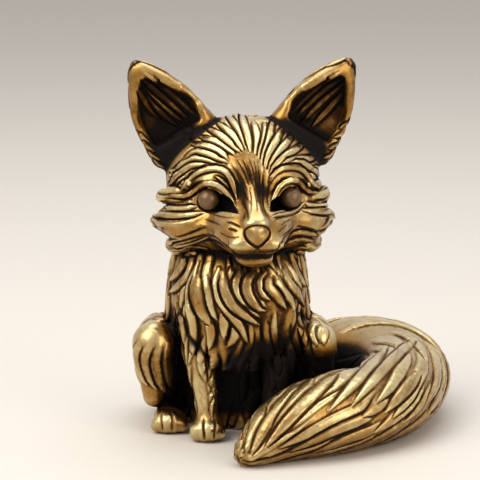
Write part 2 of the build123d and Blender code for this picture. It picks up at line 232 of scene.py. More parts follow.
class Clay:
    """A block of clay made of some solids: distances to its surface, in millimetres, on a grid of cells."""

    def __init__(self, solids, neighbours, cell):
        self.solids = solids
        self.cell = cell
        self.band = cell * BAND_CELLS
        self.grids = {name: level_set(name, cell) for name in solids + neighbours}
        low = np.min([node_boxes[name][0] for name in solids], axis=0) - CLAY_ROOM
        high = np.max([node_boxes[name][1] for name in solids], axis=0) + CLAY_ROOM
        self.low = np.floor(low / cell).astype(int)
        self.count = np.ceil(high / cell).astype(int) - self.low + 1
        field = np.full(self.count, self.band, np.float32)
        for grid in self.grids.values():
            np.minimum(field, read_grid(grid, self.low, self.count), out=field)
        self.skin = blurred(field, SOFTEN / cell)
        self.field = self.skin.copy()
        self.lines = np.full(self.count, self.band, np.float32)

    def at(self, points, field, stride=1):
        """The field's value at points. A field with a stride holds only every so many cells."""
        return between_cells(field, (points / self.cell - self.low) / stride)

    def near_solid(self, points, name):
        """Distances to one solid, up to the width of the band."""
        return self.at(points, read_grid(self.grids[name], self.low, self.count))

    def outward(self, points):
        """Unit directions away from the skin at points."""
        slope = np.empty_like(points)
        for axis in range(3):
            shift = np.zeros(3)
            shift[axis] = self.cell
            slope[:, axis] = self.at(points + shift, self.skin) - self.at(points - shift, self.skin)
        return unit(slope)

    def onto(self, points):
        """Points moved onto the skin, the surface before the fur."""
        points = np.array(points, float)
        for _ in range(ONTO_ROUNDS):
            step = np.clip(self.at(points, self.skin), -ONTO_STEP, ONTO_STEP)
            points -= step[:, None] * self.outward(points)
        return points

    def seen(self, pixels):
        """The points of the skin under pixels of the photograph, or the nearest to their rays."""
        rays = photo_rays(pixels)
        low = self.low * self.cell
        high = low + (self.count - 1) * self.cell
        radius = np.linalg.norm(high - low) / 2
        travel = np.full(len(rays), np.linalg.norm((low + high) / 2 - eye_point) - radius)
        best = np.full(len(rays), np.inf)
        best_travel = travel.copy()
        done = np.zeros(len(rays), bool)
        for _ in range(RAY_STEPS):
            points = eye_point + rays * travel[:, None]
            inside = ((points > low) & (points < high)).all(1)
            value = np.where(inside, self.at(points, self.skin), self.band)
            better = (value < best) & ~done
            best = np.where(better, value, best)
            best_travel = np.where(better, travel, best_travel)
            done |= value < RAY_HIT
            travel += np.where(done, 0, np.maximum(value * RAY_STRIDE_SHARE, RAY_LEAST_STRIDE))
        return self.onto(eye_point + rays * best_travel[:, None])

    def window(self, low, high):
        """The part of the grid between two corners, and the coordinates of its cells."""
        first = np.clip(np.floor(low / self.cell).astype(int) - self.low, 0, self.count)
        last = np.clip(np.ceil(high / self.cell).astype(int) - self.low + 1, 0, self.count)
        if (last <= first).any():
            return None, None
        lines = [(np.arange(a, b) + o) * self.cell for a, b, o in zip(first, last, self.low)]
        axes = np.ix_(*[line.astype(np.float32) for line in lines])
        return tuple(slice(int(a), int(b)) for a, b in zip(first, last)), axes

    def merge(self, window, away, cut, blend):
        """Joins a shape's distances to the clay, or cuts it, with a fillet of about blend."""
        part = self.field[window]
        if cut and blend:
            mix = np.clip(0.5 - 0.5 * (part + away) / blend, 0, 1)
            part[...] = part + (-away - part) * mix + blend * mix * (1 - mix)
        elif cut:
            np.maximum(part, -away, out=part)
        elif blend:
            mix = np.clip(0.5 + 0.5 * (part - away) / blend, 0, 1)
            part[...] = part + (away - part) * mix - blend * mix * (1 - mix)
        else:
            np.minimum(part, away, out=part)

    def lay(self, points, reach, away_of, cut, blend, inked=False):
        """Joins or cuts a shape between each two points. A shape that blends is joined all at once.

        An inked cut is noted in lines, where the darkening stays. What is joined later wipes that note out.
        """
        whole, _ = self.window(points.min(0) - reach, points.max(0) + reach)
        if whole is None:
            return
        if blend:
            layer = np.full([part.stop - part.start for part in whole], np.float32(self.band))
        for number in range(len(points) - 1):
            ends = points[number : number + 2]
            window, axes = self.window(ends.min(0) - reach, ends.max(0) + reach)
            if window is None:
                continue
            away = away_of(number, [axis - np.float32(origin) for axis, origin in zip(axes, ends[0])])
            if blend:
                inner = tuple(slice(p.start - w.start, p.stop - w.start) for p, w in zip(window, whole))
                np.minimum(layer[inner], away, out=layer[inner])
                continue
            self.merge(window, away, cut, 0)
            if inked:
                np.minimum(self.lines[window], away, out=self.lines[window])
            elif not cut:
                np.maximum(self.lines[window], -away, out=self.lines[window])
        if blend:
            self.merge(whole, layer, cut, blend)
            np.maximum(self.lines[whole], -layer, out=self.lines[whole])

    def tube(self, points, radii, cut=False, blend=0.0, inked=False):
        """A round rope or groove through points, with a radius at each."""

        def away_of(number, axes):
            way = points[number + 1] - points[number]
            square = max(float(way @ way), TINY_SQUARE)
            along = dot(axes, way)
            part = np.clip(along / square, 0, 1)
            away = dot(axes, axes) + part * (part * square - 2 * along)
            radius = radii[number] + part * (radii[number + 1] - radii[number])
            return np.sqrt(np.maximum(away, 0)) - radius

        self.lay(points, np.max(radii) + EDGE_CELLS * self.cell + blend, away_of, cut, blend, inked)

    def ribbon(self, points, widths, heights, faces, cut=False, blend=0.0, inked=False):
        """A flat rope through points, with a half width and half height at each, lying along its faces."""

        def away_of(number, axes):
            way = points[number + 1] - points[number]
            length = max(float(np.linalg.norm(way)), TINY_LENGTH)
            way = way / length
            side = unit(np.cross(way, faces[number] + faces[number + 1]))
            face = np.cross(side, way)
            along, across, above = dot(axes, way), dot(axes, side), dot(axes, face)
            part = np.clip(along / length, 0, 1)
            over = along - part * length
            width = widths[number] + part * (widths[number + 1] - widths[number])
            height = heights[number] + part * (heights[number + 1] - heights[number])
            level = (above * above + over * over) / (height * height)
            spread = across * across / (width * width)
            near = np.sqrt(level + spread * (ROUND_SHARE + (1 - ROUND_SHARE) * spread))
            bend = ROUND_SHARE + 2 * (1 - ROUND_SHARE) * spread
            steep = np.sqrt(level / (height * height) + spread * bend * bend / (width * width))
            return near * (near - 1) / np.maximum(steep, TINY_SLOPE)

        reach = max(np.max(widths), np.max(heights)) + EDGE_CELLS * self.cell + blend
        self.lay(points, reach, away_of, cut, blend, inked)

    def settle(self, soften):
        """Takes the clay as it is now for the skin that the next strokes are drawn on."""
        self.skin = blurred(self.field, soften / self.cell)

    def egg(self, middle, radii, turn=None, cut=False, blend=0.0):
        """An egg with those three radii. turn's columns are its own axes."""
        middle = np.asarray(middle, float)
        radii = np.asarray(radii, float)
        turn = np.eye(3) if turn is None else turn
        reach = radii.max() + EGG_EDGE_CELLS * self.cell + blend
        window, axes = self.window(middle - reach, middle + reach)
        if window is None:
            return
        rest = [axis - origin for axis, origin in zip(axes, middle)]
        near, steep = 0, 0
        for number in range(3):
            own = sum(rest[axis] * turn[axis, number] for axis in range(3)) / radii[number]
            near = near + own**2
            steep = steep + (own / radii[number]) ** 2
        near = np.sqrt(near)
        away = near * (near - 1) / np.maximum(np.sqrt(steep), TINY_SLOPE)
        self.merge(window, away, cut, blend)
        if cut:
            np.minimum(self.lines[window], away, out=self.lines[window])

    def keep_skin(self, middle, radii, share=1.0):
        """Undoes the cut under the fur inside an egg, fading out at its edge."""
        middle = np.asarray(middle, float)
        radii = np.asarray(radii, float)
        window, axes = self.window(middle - radii - SMOOTH_FADE, middle + radii + SMOOTH_FADE)
        near = sum(((axis - o) / r) ** 2 for axis, o, r in zip(axes, middle, radii))
        inside = np.clip(0.5 - (np.sqrt(near) - 1) * radii.min() / SMOOTH_FADE, 0, 1)
        self.field[window] -= (FUR_DEPTH * share * inside).astype(np.float32)


print("tools of the clay:", [name for name in vars(Clay) if not name.startswith("_")])

# %% [markdown]
# The head is small and finely worked, so its grid is finer than the body's. Each block also holds the
# solids next to it, so that the fur can run over the seams.

# %% Two blocks of clay
HEAD_CELL = 0.09  # mm
BODY_CELL = 0.13  # mm
EARS = ("right_ear", "left_ear")
LEGS = ("right_foreleg", "left_foreleg", "right_hind_leg", "left_hind_leg")
head_clay = Clay(("head",) + EARS, ("trunk", "right_eye", "left_eye", "neck_dowel"), HEAD_CELL)
body_clay = Clay(("trunk", "tail") + LEGS, ("head", "neck_dowel", "tail_dowel"), BODY_CELL)
print("cells:", head_clay.count.tolist(), body_clay.count.tolist())

# %% [markdown]
# ## Strokes
#
# A stroke starts as a few points. They become a soft curve with even steps, and a stroke drawn on the
# photograph is laid on the skin along the camera's rays. Where the rays leap from one form to another
# behind it, the stroke is cut short.

# %% Curves on the skin
CURVE_STEPS = 8
POINT_STEP = 5.0  # pixels
LEAST_POINTS = 7
SPIKE = 0.45  # mm
LEAP_TIMES = 3  # a leap is longer than that many usual steps and LEAP_SPARE more
LEAP_SPARE = 0.3  # mm


def smooth_line(points, count):
    """Points evenly spaced on a soft curve through a few given ones."""
    points = np.asarray(points, float)
    ends = np.vstack([2 * points[0] - points[1], points, 2 * points[-1] - points[-2]])
    t = np.linspace(0, 1, CURVE_STEPS, endpoint=False)[:, None]
    pieces = []
    for a, b, c, d in zip(ends[:-3], ends[1:-2], ends[2:-1], ends[3:]):
        bend = (2 * a - 5 * b + 4 * c - d) * t**2 + (3 * b - a - 3 * c + d) * t**3
        pieces.append(0.5 * (2 * b + (c - a) * t + bend))
    line = np.vstack(pieces + [points[-1:]])
    walked = np.concatenate([[0], np.cumsum(np.linalg.norm(np.diff(line, axis=0), axis=1))])
    wanted = np.linspace(0, walked[-1], count)
    return np.column_stack([np.interp(wanted, walked, column) for column in line.T])


def without_spikes(line):
    """The line with points that lie far in front of or behind their neighbours moved back between them."""
    depth = np.linalg.norm(line - eye_point, axis=1)
    padded = np.pad(depth, 2, mode="edge")
    middle = np.median(np.stack([padded[number : number + len(depth)] for number in range(5)]), axis=0)
    good = np.abs(depth - middle) < SPIKE
    if good.sum() < 3:
        return line
    index = np.arange(len(line))
    return np.column_stack([np.interp(index, index[good], column[good]) for column in line.T])


def drawn(clay, strokes):
    """The strokes of the photograph laid on the skin, each cut short where it would leap over a gap."""
    counts = []
    for stroke in strokes:
        length = np.linalg.norm(np.diff(np.array(stroke), axis=0), axis=1).sum()
        counts.append(max(LEAST_POINTS, round(length / POINT_STEP)))
    points = clay.seen(np.vstack([smooth_line(stroke, count) for stroke, count in zip(strokes, counts)]))
    lines = []
    for line in np.split(points, np.cumsum(counts)[:-1]):
        line = without_spikes(line)
        steps = np.linalg.norm(np.diff(line, axis=0), axis=1)
        far = np.flatnonzero(steps > LEAP_TIMES * np.median(steps) + LEAP_SPARE)
        leaps = [-1] + list(far) + [len(line) - 1]
        runs = [line[a + 1 : b + 1] for a, b in zip(leaps[:-1], leaps[1:])]
        longest = max(runs, key=len)
        if len(longest) > 2:
            lines.append(smooth_line(longest, len(line)))
    return lines


def even_faces(clay, points):
    """Directions away from the skin along a stroke, each evened out with its neighbours."""
    faces = clay.outward(points)
    before = np.vstack([faces[:1], faces[:-1]])
    after = np.vstack([faces[1:], faces[-1:]])
    return unit(faces + 0.5 * (before + after))


print("curves are ready")

# %% [markdown]
# The carver's hand is in a few kinds of stroke. A lock is a flat ribbon with a groove down each side. Its
# root is sunk and narrow, it is widest after a third of its length, and it ends in a point. A ridge is a
# ribbon whose sides melt into the skin. A line is only a groove.

# %% Locks, ridges and lines
GROOVE_RADIUS = 0.11  # mm
GROOVE_CELLS = 0.85  # cells, the thinnest groove that a grid can hold
GROOVE_OUT_SHARE = 0.6  # of its radius that a groove lies beyond the edge of its lock
BLADE_HEIGHT = 0.26  # mm, half
BLADE_SINK = 0.12  # mm
ROOT_SINK = 0.18  # mm
ROOT_SPAN_SHARE = 0.22
HAIR_RADIUS = 0.08  # mm
HAIR_CELLS = 0.9
HAIR_CELL = 0.1  # mm, the widest cell on which a lock may have a single hair line
HAIR_SPREAD_SHARE = 0.62
HAIR_SWAY = 0.25
HAIR_OUT_SHARE = 0.45
LINE_OUT_SHARE = 0.2
RIDGE_SINK = 0.1  # mm
# Each table has places along a stroke, from 0 at its root to 1 at its tip, and a share at each
LOCK_SHARES = ([0, 0.15, 0.4, 0.75, 0.92, 1], [0.5, 0.85, 1.0, 0.8, 0.42, 0.12])
STRAND_SHARES = ([0, 0.12, 0.5, 0.84, 1], [0.35, 0.72, 1.0, 0.85, 0.25])
HEIGHT_SHARES = ([0, 0.3, 0.75, 1], [0.8, 1.0, 0.9, 0.5])
GROOVE_SHARES = ([0, 0.2, 0.85, 1], [0.6, 1, 1, 0.5])
BLADE_SHARES = ([0, 0.15, 0.85, 1], [0.5, 1, 1, 0.5])
HAIR_SHARES = ([0, 0.3, 1], [0.6, 1, 0.6])
LINE_PLACES = [0, 0.2, 0.8, 1]
RIDGE_PLACES = [0, 0.25, 0.75, 1]
draws = np.random.default_rng(7)


def lay_lock(clay, points, width, height, rise, hairs=1, shares=LOCK_SHARES, gap=1.0):
    """A lock along points of the skin, with a groove down each side and a few hair lines.

    width and height are halves, in millimetres, rise is how far its top stands over the skin, and gap
    widens its grooves.
    """
    share = np.linspace(0, 1, len(points))
    faces = even_faces(clay, points)
    side = unit(np.cross(faces, unit(np.gradient(points, axis=0))))
    girth = np.interp(share, *shares)
    tall = np.interp(share, *HEIGHT_SHARES) * height
    top = np.interp(share, [0, ROOT_SPAN_SHARE, 1], [rise - ROOT_SINK, rise, rise])
    groove = max(GROOVE_RADIUS, GROOVE_CELLS * clay.cell) * np.interp(share, *GROOVE_SHARES) * gap
    blade = BLADE_HEIGHT * np.interp(share, *BLADE_SHARES)
    for sign in (-1, 1):
        edge = points + (sign * (width * girth + groove * GROOVE_OUT_SHARE))[:, None] * side
        clay.ribbon(edge + (rise - BLADE_SINK) * faces, groove, blade, faces, cut=True, inked=True)
    clay.ribbon(points + (top - tall)[:, None] * faces, width * girth, tall, faces)
    for number in range(hairs if clay.cell < HAIR_CELL or hairs > 1 else 0):
        place = (number + 0.5) / hairs * 2 - 1
        offset = HAIR_SPREAD_SHARE * (place + draws.uniform(-HAIR_SWAY, HAIR_SWAY))
        part = slice(draws.integers(1, 3), len(points) - draws.integers(1, 3))
        hair = points + (offset * width * girth)[:, None] * side
        radius = max(HAIR_RADIUS, HAIR_CELLS * clay.cell)
        fall = ROUND_SHARE * offset**2 + (1 - ROUND_SHARE) * offset**4
        depth = top - tall * (1 - math.sqrt(1 - fall)) + HAIR_OUT_SHARE * radius
        line = (hair + depth[:, None] * faces)[part]
        clay.tube(line, radius * np.interp(np.linspace(0, 1, len(line)), *HAIR_SHARES), cut=True)


def cut_line(clay, points, radius, depth=0.0, end_share=0.5):
    """A groove along points of the skin, shallow at both ends."""
    share = np.linspace(0, 1, len(points))
    girth = np.interp(share, LINE_PLACES, [end_share, 1, 1, end_share]) * radius
    lift = LINE_OUT_SHARE * radius - depth
    clay.tube(points + lift * clay.outward(points), girth, cut=True, inked=True)


def lay_ridge(clay, points, width, height, rise, end_share, blend):
    """A soft ridge along points of the skin that melts into it at its sides and ends."""
    share = np.linspace(0, 1, len(points))
    faces = even_faces(clay, points)
    girth = np.interp(share, RIDGE_PLACES, [end_share, 1, 1, end_share])
    top = np.interp(share, RIDGE_PLACES, [-RIDGE_SINK, rise, rise, -RIDGE_SINK])
    heights = height * np.ones(len(points))
    clay.ribbon(points + (top - height)[:, None] * faces, width * girth, heights, faces, blend=blend)


print("strokes are ready")

# %% [markdown]
# ## Where a polishing ball doesn't reach
#
# The bath blackens the whole casting, and polishing bares it again. A large soft ball, rolled over the
# whole fox, touches the brows and the back, but never the bottom of an ear or the belly between the legs.
# Its path is a surface one radius away from the solids, and one radius back from that is all that it
# touches.

# %% Depth below the polishing ball
POLISH_BALL = 7.0  # mm
POLISH_CELL = 0.4  # mm
POLISH_ROOM = 3  # cells
POLISH_SPARE = 2  # cells of band beyond the ball's radius
POLISH_BACK_SPARE = 6


def polish_field():
    """Distances inside the shape that the polishing ball can't enter, as a grid, and its first cell."""
    steps = vdb.createLinearTransform(voxelSize=POLISH_CELL)
    band = math.ceil(POLISH_BALL / POLISH_CELL) + POLISH_SPARE
    boxes = np.array(list(node_boxes.values()))
    low = np.floor((boxes[:, 0].min(0) - POLISH_BALL) / POLISH_CELL).astype(int) - POLISH_ROOM
    high = np.ceil((boxes[:, 1].max(0) + POLISH_BALL) / POLISH_CELL).astype(int) + POLISH_ROOM
    whole = np.full(high - low, band * POLISH_CELL, np.float32)
    for name in node_boxes:
        corners, triangles = node_triangles(name)
        grid = vdb.FloatGrid.createLevelSetFromPolygons(
            corners, triangles=triangles, transform=steps, halfWidth=band
        )
        np.minimum(whole, read_grid(grid, low, whole.shape), out=whole)
    grid = vdb.FloatGrid(float(band * POLISH_CELL))
    grid.copyFromArray(whole)
    points, triangles, quads = grid.convertToPolygons(isovalue=POLISH_BALL)
    points = ((points + low) * POLISH_CELL).astype(np.float32)
    grid = vdb.FloatGrid.createLevelSetFromPolygons(
        points, triangles=triangles.astype(np.int32), quads=quads.astype(np.int32), transform=steps,
        halfWidth=band + POLISH_BACK_SPARE
    )
    return -read_grid(grid, low, whole.shape) - POLISH_BALL, low


polish, polish_low = polish_field()


def out_of_reach(points):
    """How far points lie below what the polishing ball touches, in millimetres."""
    return between_cells(polish, points / POLISH_CELL - polish_low)


print("deepest place below the polishing ball:", round(float(polish.max()), 2), "mm")

# %% [markdown]
# ## Fill what a casting doesn't have
#
# The solids meet with thin slits at the feet of the ears and with a sharp notch under the back of the
# head, and their shins are thin sticks. On the casting the ears grow out of the head, the nape runs on
# into the back, and knee, shin and foot are one full form. Eggs and tubes are melted in there before the
# fur is laid, and the clay then settles into a new skin.

# %% Feet of the ears, nape and shins
EAR_FEET = [(177, 120), (303.5, 113.4)]
EAR_FOOT = 0.75  # mm
EAR_FOOT_SINK = 0.5  # mm
EAR_FOOT_BLEND = 0.5  # mm
NAPE_LEVELS = (20.2, 22.6, 24.3)  # mm above the table: under the notch, in it and over it
NAPE_RADIUS = 1.5  # mm
NAPE_BLEND = 1.4  # mm
NAPE_SINK = 0.15  # mm
NAPE_SIDE_SINK = 0.6  # mm
NAPE_Y = 1.0  # mm
NAPE_REACH = (13, 2)  # mm from the middle of the neck, searched from outside
NAPE_STEP = 0.05  # mm
NAPE_ARC = (30, 150)  # degrees, from its right end to its left
NAPE_POINTS = 25
KNEE_RADIUS = 2.4  # mm
SHIN_PATH = np.array([[0, 0.2, -0.3], [0, 0.7, -3.0], [0, 0.6, -6.2]])  # mm from the knee's middle
SHIN_RADII = [2.2, 2.0, 1.3]  # mm
SHIN_BLEND = 0.8  # mm
SETTLE_BLUR = 0.1  # mm

for place, ray in zip(head_clay.seen(EAR_FEET), photo_rays(EAR_FEET)):
    head_clay.egg(place + EAR_FOOT_SINK * ray, [EAR_FOOT] * 3, blend=EAR_FOOT_BLEND)

nape_angles = np.radians(np.linspace(*NAPE_ARC, NAPE_POINTS))
nape_ways = np.column_stack([np.cos(nape_angles), np.sin(nape_angles), np.zeros(NAPE_POINTS)])
travel = np.arange(*NAPE_REACH, -NAPE_STEP)
nape_radii = []
for level in NAPE_LEVELS:
    places = nape_ways[:, None, :] * travel[None, :, None] + np.array([0, NAPE_Y, level])
    solid = body_clay.at(places.reshape(-1, 3), body_clay.skin).reshape(NAPE_POINTS, -1) < 0
    nape_radii.append(travel[solid.argmax(axis=1)])
below, notch, above = nape_radii
filled = (below + above) / 2 - NAPE_SINK - NAPE_SIDE_SINK * np.abs(np.cos(nape_angles)) ** 3 - NAPE_RADIUS
nape_ring = nape_ways * filled[:, None] + np.array([0, NAPE_Y, NAPE_LEVELS[1]])

knee_middles = {}
for name in ("right_hind_leg", "left_hind_leg"):
    low, high = node_boxes[name]
    outer = low[0] + KNEE_RADIUS if "right" in name else high[0] - KNEE_RADIUS
    knee_middles[name] = np.array([outer, low[1] + KNEE_RADIUS, high[2] - KNEE_RADIUS])
    body_clay.tube(knee_middles[name] + SHIN_PATH, SHIN_RADII, blend=SHIN_BLEND)
for clay in (head_clay, body_clay):
    clay.tube(nape_ring, [NAPE_RADIUS] * NAPE_POINTS, blend=NAPE_BLEND)
    clay.settle(SETTLE_BLUR)
print("depth filled at the nape, mm:", (filled + NAPE_RADIUS - notch)[::6].round(2).tolist())
print("knees at", {name: middle.round(1).tolist() for name, middle in knee_middles.items()})

# %% [markdown]
# ## Where the wax is furred
#
# The fur stands on a surface that is cut back a little, so that its ridges end where the solids end. The
# face, the paws, the knees and the thin ears keep their skin: they are smooth on the casting.

# %% Cut the clay back under the fur
PAW_TOP = 2.9  # mm
PAW_MIDDLE = 1.0  # mm
PASTERN_MIDDLE = 3.5  # mm
PAW_FORWARD = 2.2  # mm from the front of a leg's box to the middle of its paw
FORE_PAW_RADII = (2.6, 3.4, PAW_TOP - PAW_MIDDLE)  # mm
HIND_PAW_RADII = (4.0, 3.4, PAW_TOP - PAW_MIDDLE)  # mm
PASTERN_RADII = (2.6, 3.0, 3.4)  # mm
PASTERN_SHARE = 0.6
EAR_UP = 1.2  # mm
EAR_SIZE_SHARE = 0.75
EAR_SKIN_SHARE = 0.85
FACE_SHIFT = np.array([0.3, -1.2, -1.6])  # mm from between the eyes
FACE_RADII = np.array([7.4, 5.6, 5.4])  # mm


def middle_of(name):
    return node_boxes[name].mean(axis=0)


def size_of(name):
    return node_boxes[name][1] - node_boxes[name][0]


head_clay.field += FUR_DEPTH
body_clay.field += FUR_DEPTH
eye_middles = {}
for name in ("right_eye", "left_eye"):
    low, high = node_boxes[name]
    eye_radius = (high[0] - low[0]) / 2
    eye_middles[name] = np.array([(low[0] + high[0]) / 2, low[1] + eye_radius, (low[2] + high[2]) / 2])
face_middle = (eye_middles["right_eye"] + eye_middles["left_eye"]) / 2 + FACE_SHIFT
head_clay.keep_skin(face_middle, FACE_RADII)
for name in EARS:
    middle = middle_of(name) + np.array([0, 0, EAR_UP])
    head_clay.keep_skin(middle, size_of(name) * EAR_SIZE_SHARE, EAR_SKIN_SHARE)
for name in LEGS:
    low, high = node_boxes[name]
    x, y = (low[0] + high[0]) / 2, low[1] + PAW_FORWARD
    if "fore" in name:
        body_clay.keep_skin((x, y, PAW_MIDDLE), FORE_PAW_RADII)
        body_clay.keep_skin((x, y, PASTERN_MIDDLE), PASTERN_RADII, PASTERN_SHARE)
    else:
        body_clay.keep_skin((x, y, PAW_MIDDLE), HIND_PAW_RADII)
        body_clay.keep_skin(knee_middles[name], [KNEE_RADIUS] * 3)
print("cut back by", FUR_DEPTH, "mm")

# %% [markdown]
# ## Directions of the fur
#
# Every part has its own direction. Fur runs down the trunk, away from the nose over the head, from root to
# tip on the ears, and round the brush in a long spiral. Slow waves turn it a little, so no two rows match.

# %% Directions
WAVE_WAY = np.array([0.9, 1.3, 0.7])
WAVE_TIMES = 2.3
WAVE_LATER = 1.1
WAVE_SHARE = 0.6


def swayed(clay, points, direction, swing, pitch):
    """Directions laid along the skin and turned a little, in slow waves."""
    away = clay.outward(points)
    flat = unit(direction - (direction * away).sum(1, keepdims=True) * away)
    phase = points @ WAVE_WAY / pitch
    angle = swing * (np.sin(phase) + WAVE_SHARE * np.sin(WAVE_TIMES * phase + WAVE_LATER))
    return unit(flat * np.cos(angle)[:, None] + np.cross(away, flat) * np.sin(angle)[:, None])


def falling(lean, swing, pitch, more_lean=0.0):
    """The direction of fur that falls down the body and leans back, on the back more than in front."""

    def flow(points):
        direction = np.zeros_like(points)
        direction[:, 2] = -1
        direction[:, 1] = lean + more_lean * points[:, 1]
        return swayed(body_clay, points, direction, swing, pitch)

    return flow


down_trunk = falling(lean=0.25, swing=0.26, pitch=2.4, more_lean=0.02)
down_leg = falling(lean=0.2, swing=0.2, pitch=1.6)
down_haunch = falling(lean=0.35, swing=0.16, pitch=2.6)

TAIL_REACH = 18.4  # mm
TAIL_RUN = 30.6  # mm
TAIL_CORE = 3.6  # mm above the table
TAIL_SPIRAL = math.radians(-24)
TAIL_STEPS = 160
TAIL_CALM_SHARES = ([0, 60, 145, 159], [0.5, 1, 0.9, 0.2])  # of the spiral, at steps along the tail
TAIL_SWAY = (0.1, 4.0)  # radians, and mm
# across (of the reach), forward of the rump (of the run)
tail_path_shares = np.array([
    (0.10, 0.13), (0.33, -0.05), (0.68, -0.09), (0.95, 0.08), (1.0, 0.32), (0.88, 0.56),
    (0.63, 0.73), (0.37, 0.83), (0.18, 0.90), (0.06, 0.96), (-0.02, 1.0),
])
tail_back = node_boxes["trunk"][1][1]
tail_path = np.column_stack([
    tail_path_shares[:, 0] * TAIL_REACH,
    tail_back - tail_path_shares[:, 1] * TAIL_RUN,
    np.full(len(tail_path_shares), TAIL_CORE),
])
tail_line = smooth_line(tail_path, TAIL_STEPS)
tail_ways = unit(np.gradient(tail_line, axis=0))


def nearest_on_tail(points):
    """The step of the tail's line nearest to each point, seen from above."""
    return ((points[:, None, :2] - tail_line[None, :, :2]) ** 2).sum(2).argmin(1)


def along_tail(points):
    near = nearest_on_tail(points)
    way = tail_ways[near]
    around = np.cross(way, unit(points - tail_line[near]))
    calm = np.interp(near, *TAIL_CALM_SHARES)[:, None]
    direction = way * math.cos(TAIL_SPIRAL) + around * calm * math.sin(TAIL_SPIRAL)
    return swayed(body_clay, points, direction, *TAIL_SWAY)


NOSE_TIP = (257.6, 233.8)
HEAD_SWAY = (0.16, 2.4)
NAPE_FALL = 0.9
NAPE_START, NAPE_SPAN = -1, 5  # mm, where the fur of the head starts to fall, and over what length
nose_point = head_clay.seen([NOSE_TIP])[0]


def over_head(points):
    direction = unit(points - nose_point)
    direction[:, 2] -= NAPE_FALL * np.clip((points[:, 1] - NAPE_START) / NAPE_SPAN, 0, 1)
    return swayed(head_clay, points, direction, *HEAD_SWAY)


EAR_SWAY = (0.12, 1.6)


def along_ear(name):
    """The direction from an ear's root to its tip."""
    low, high = node_boxes[name]
    outside = 0 if middle_of(name)[0] < 0 else 1
    middle = (low[1] + high[1]) / 2
    tip = np.array([(low, high)[outside][0], middle, high[2]])
    root = np.array([(low, high)[1 - outside][0], middle, low[2]])

    def flow(points):
        return swayed(head_clay, points, np.repeat(unit(tip - root)[None], len(points), axis=0), *EAR_SWAY)

    return flow


tail_length = np.linalg.norm(np.diff(tail_line, axis=0), axis=1).sum()
print("the tail's line is", round(float(tail_length), 1), "mm long")

# %% [markdown]
# ## Locks that the photograph shows
#
# Each lock is a line of pixels, drawn down the middle of a bright ridge, from its root to its tip.
# The lines are laid on the skin along the camera's rays. A fan of locks opens over the forehead from the
# smooth wedge between the eyes, long pointed tongues hang down the chest, and streaks run along the brush.

# %% Locks of the forehead, chest and brush
FOREHEAD_LOCKS = [
    [(176.9, 179.4), (188.4, 171.1), (196, 168)],
    [(169.2, 183), (176.9, 174.4), (184.3, 168.4), (192, 164), (200.2, 163.6), (207, 166)],
    [(176.9, 166), (183.3, 160.6), (189.6, 157.2), (198, 156.5), (208.8, 158.4), (215.2, 160.9),
     (226, 166)],
    [(188.4, 153.3), (193.5, 149.8), (199.2, 150.4), (210.1, 153.3), (219, 157.8), (227, 162)],
    [(199.2, 143.7), (205.6, 144.3), (212, 146.3), (219.3, 149.8), (227.3, 158.4)],
    [(207.4, 137.6), (216.4, 139.9), (223.8, 144.1), (229.9, 149), (234.5, 154.3)],
    [(213, 130), (219, 133), (226, 138.5), (233, 144.5), (239.7, 151.5)],
    [(222.8, 125.3), (229, 130.1), (236, 137), (240.5, 145.7), (243, 150)],
    [(232, 119), (237.6, 126), (241.8, 133.4), (245, 141), (246.5, 148)],
    [(242.4, 116), (245.4, 126.4), (248.3, 136.2), (249.5, 144.2), (250.6, 151.5)],
    [(252.7, 115.5), (255.9, 126.5), (258, 137), (257.5, 146), (255, 153.5)],
    [(264.5, 118), (266.5, 127.2), (265.5, 138), (262.5, 147.5), (259, 157)],
    [(272, 126), (270.8, 136), (268, 145.5), (264.5, 155), (261.5, 163)],
    [(280, 133.4), (275.5, 142), (271.2, 150), (267.5, 160), (265, 168)],
    [(289, 140), (284, 146.2), (278.3, 153.9), (273, 162), (269, 170)],
    [(297.5, 148), (289.8, 153), (282, 159.5), (275.5, 166.5), (270, 174)],
    [(308, 158), (299, 158.5), (290, 161), (282, 165)],
    [(315, 170), (307, 163.5), (298, 162.4), (290, 163.6)],
]
CHEST_LOCKS = [
    [(175, 304), (181, 321), (183.5, 342)],
    [(223, 313), (224, 328), (224, 339)],
    [(235, 327), (234, 338), (228, 346.5)],
    [(207, 318), (211, 334), (209, 350)],
    [(299, 290), (303, 303), (304, 318)],
    [(172, 251), (170, 265), (168, 276)],
    [(186, 254), (181, 266.5), (169.5, 280.5)],
    [(192, 255), (188, 272), (178, 285), (169.5, 292)],
    [(197.5, 261), (192, 276), (188, 290), (189, 309), (193, 328), (192, 349), (188, 365)],
    [(218.6, 268), (215.8, 283), (218.6, 297), (230, 314), (241, 328), (248, 344)],
    [(232.6, 268), (230, 279), (234, 292), (246.6, 306), (259, 317)],
    [(223, 272), (224, 289), (232.6, 306), (246.6, 317), (259, 325)],
    [(204.5, 276), (206, 290), (210, 309), (217, 320)],
    [(241, 271), (237, 283), (241, 296), (252, 309)],
    [(258, 272), (252, 286), (256.4, 297), (266, 307)],
    [(253.6, 271), (246.6, 283), (249.4, 297), (259, 309), (265, 311)],
    [(266, 272), (262, 283), (265, 294.5), (275, 300)],
    [(277.5, 276), (282, 289), (291.5, 300), (294, 310)],
    [(270.5, 275), (269, 286), (277.5, 296), (286, 309)],
    [(291.5, 257), (297, 271), (305.6, 286)],
    [(284.5, 269), (289, 280.5), (298.5, 293), (304, 306)],
]
CHEST_WIDE_LOCKS = [
    [(196, 276), (195.4, 293), (200, 310), (210, 325)],
]
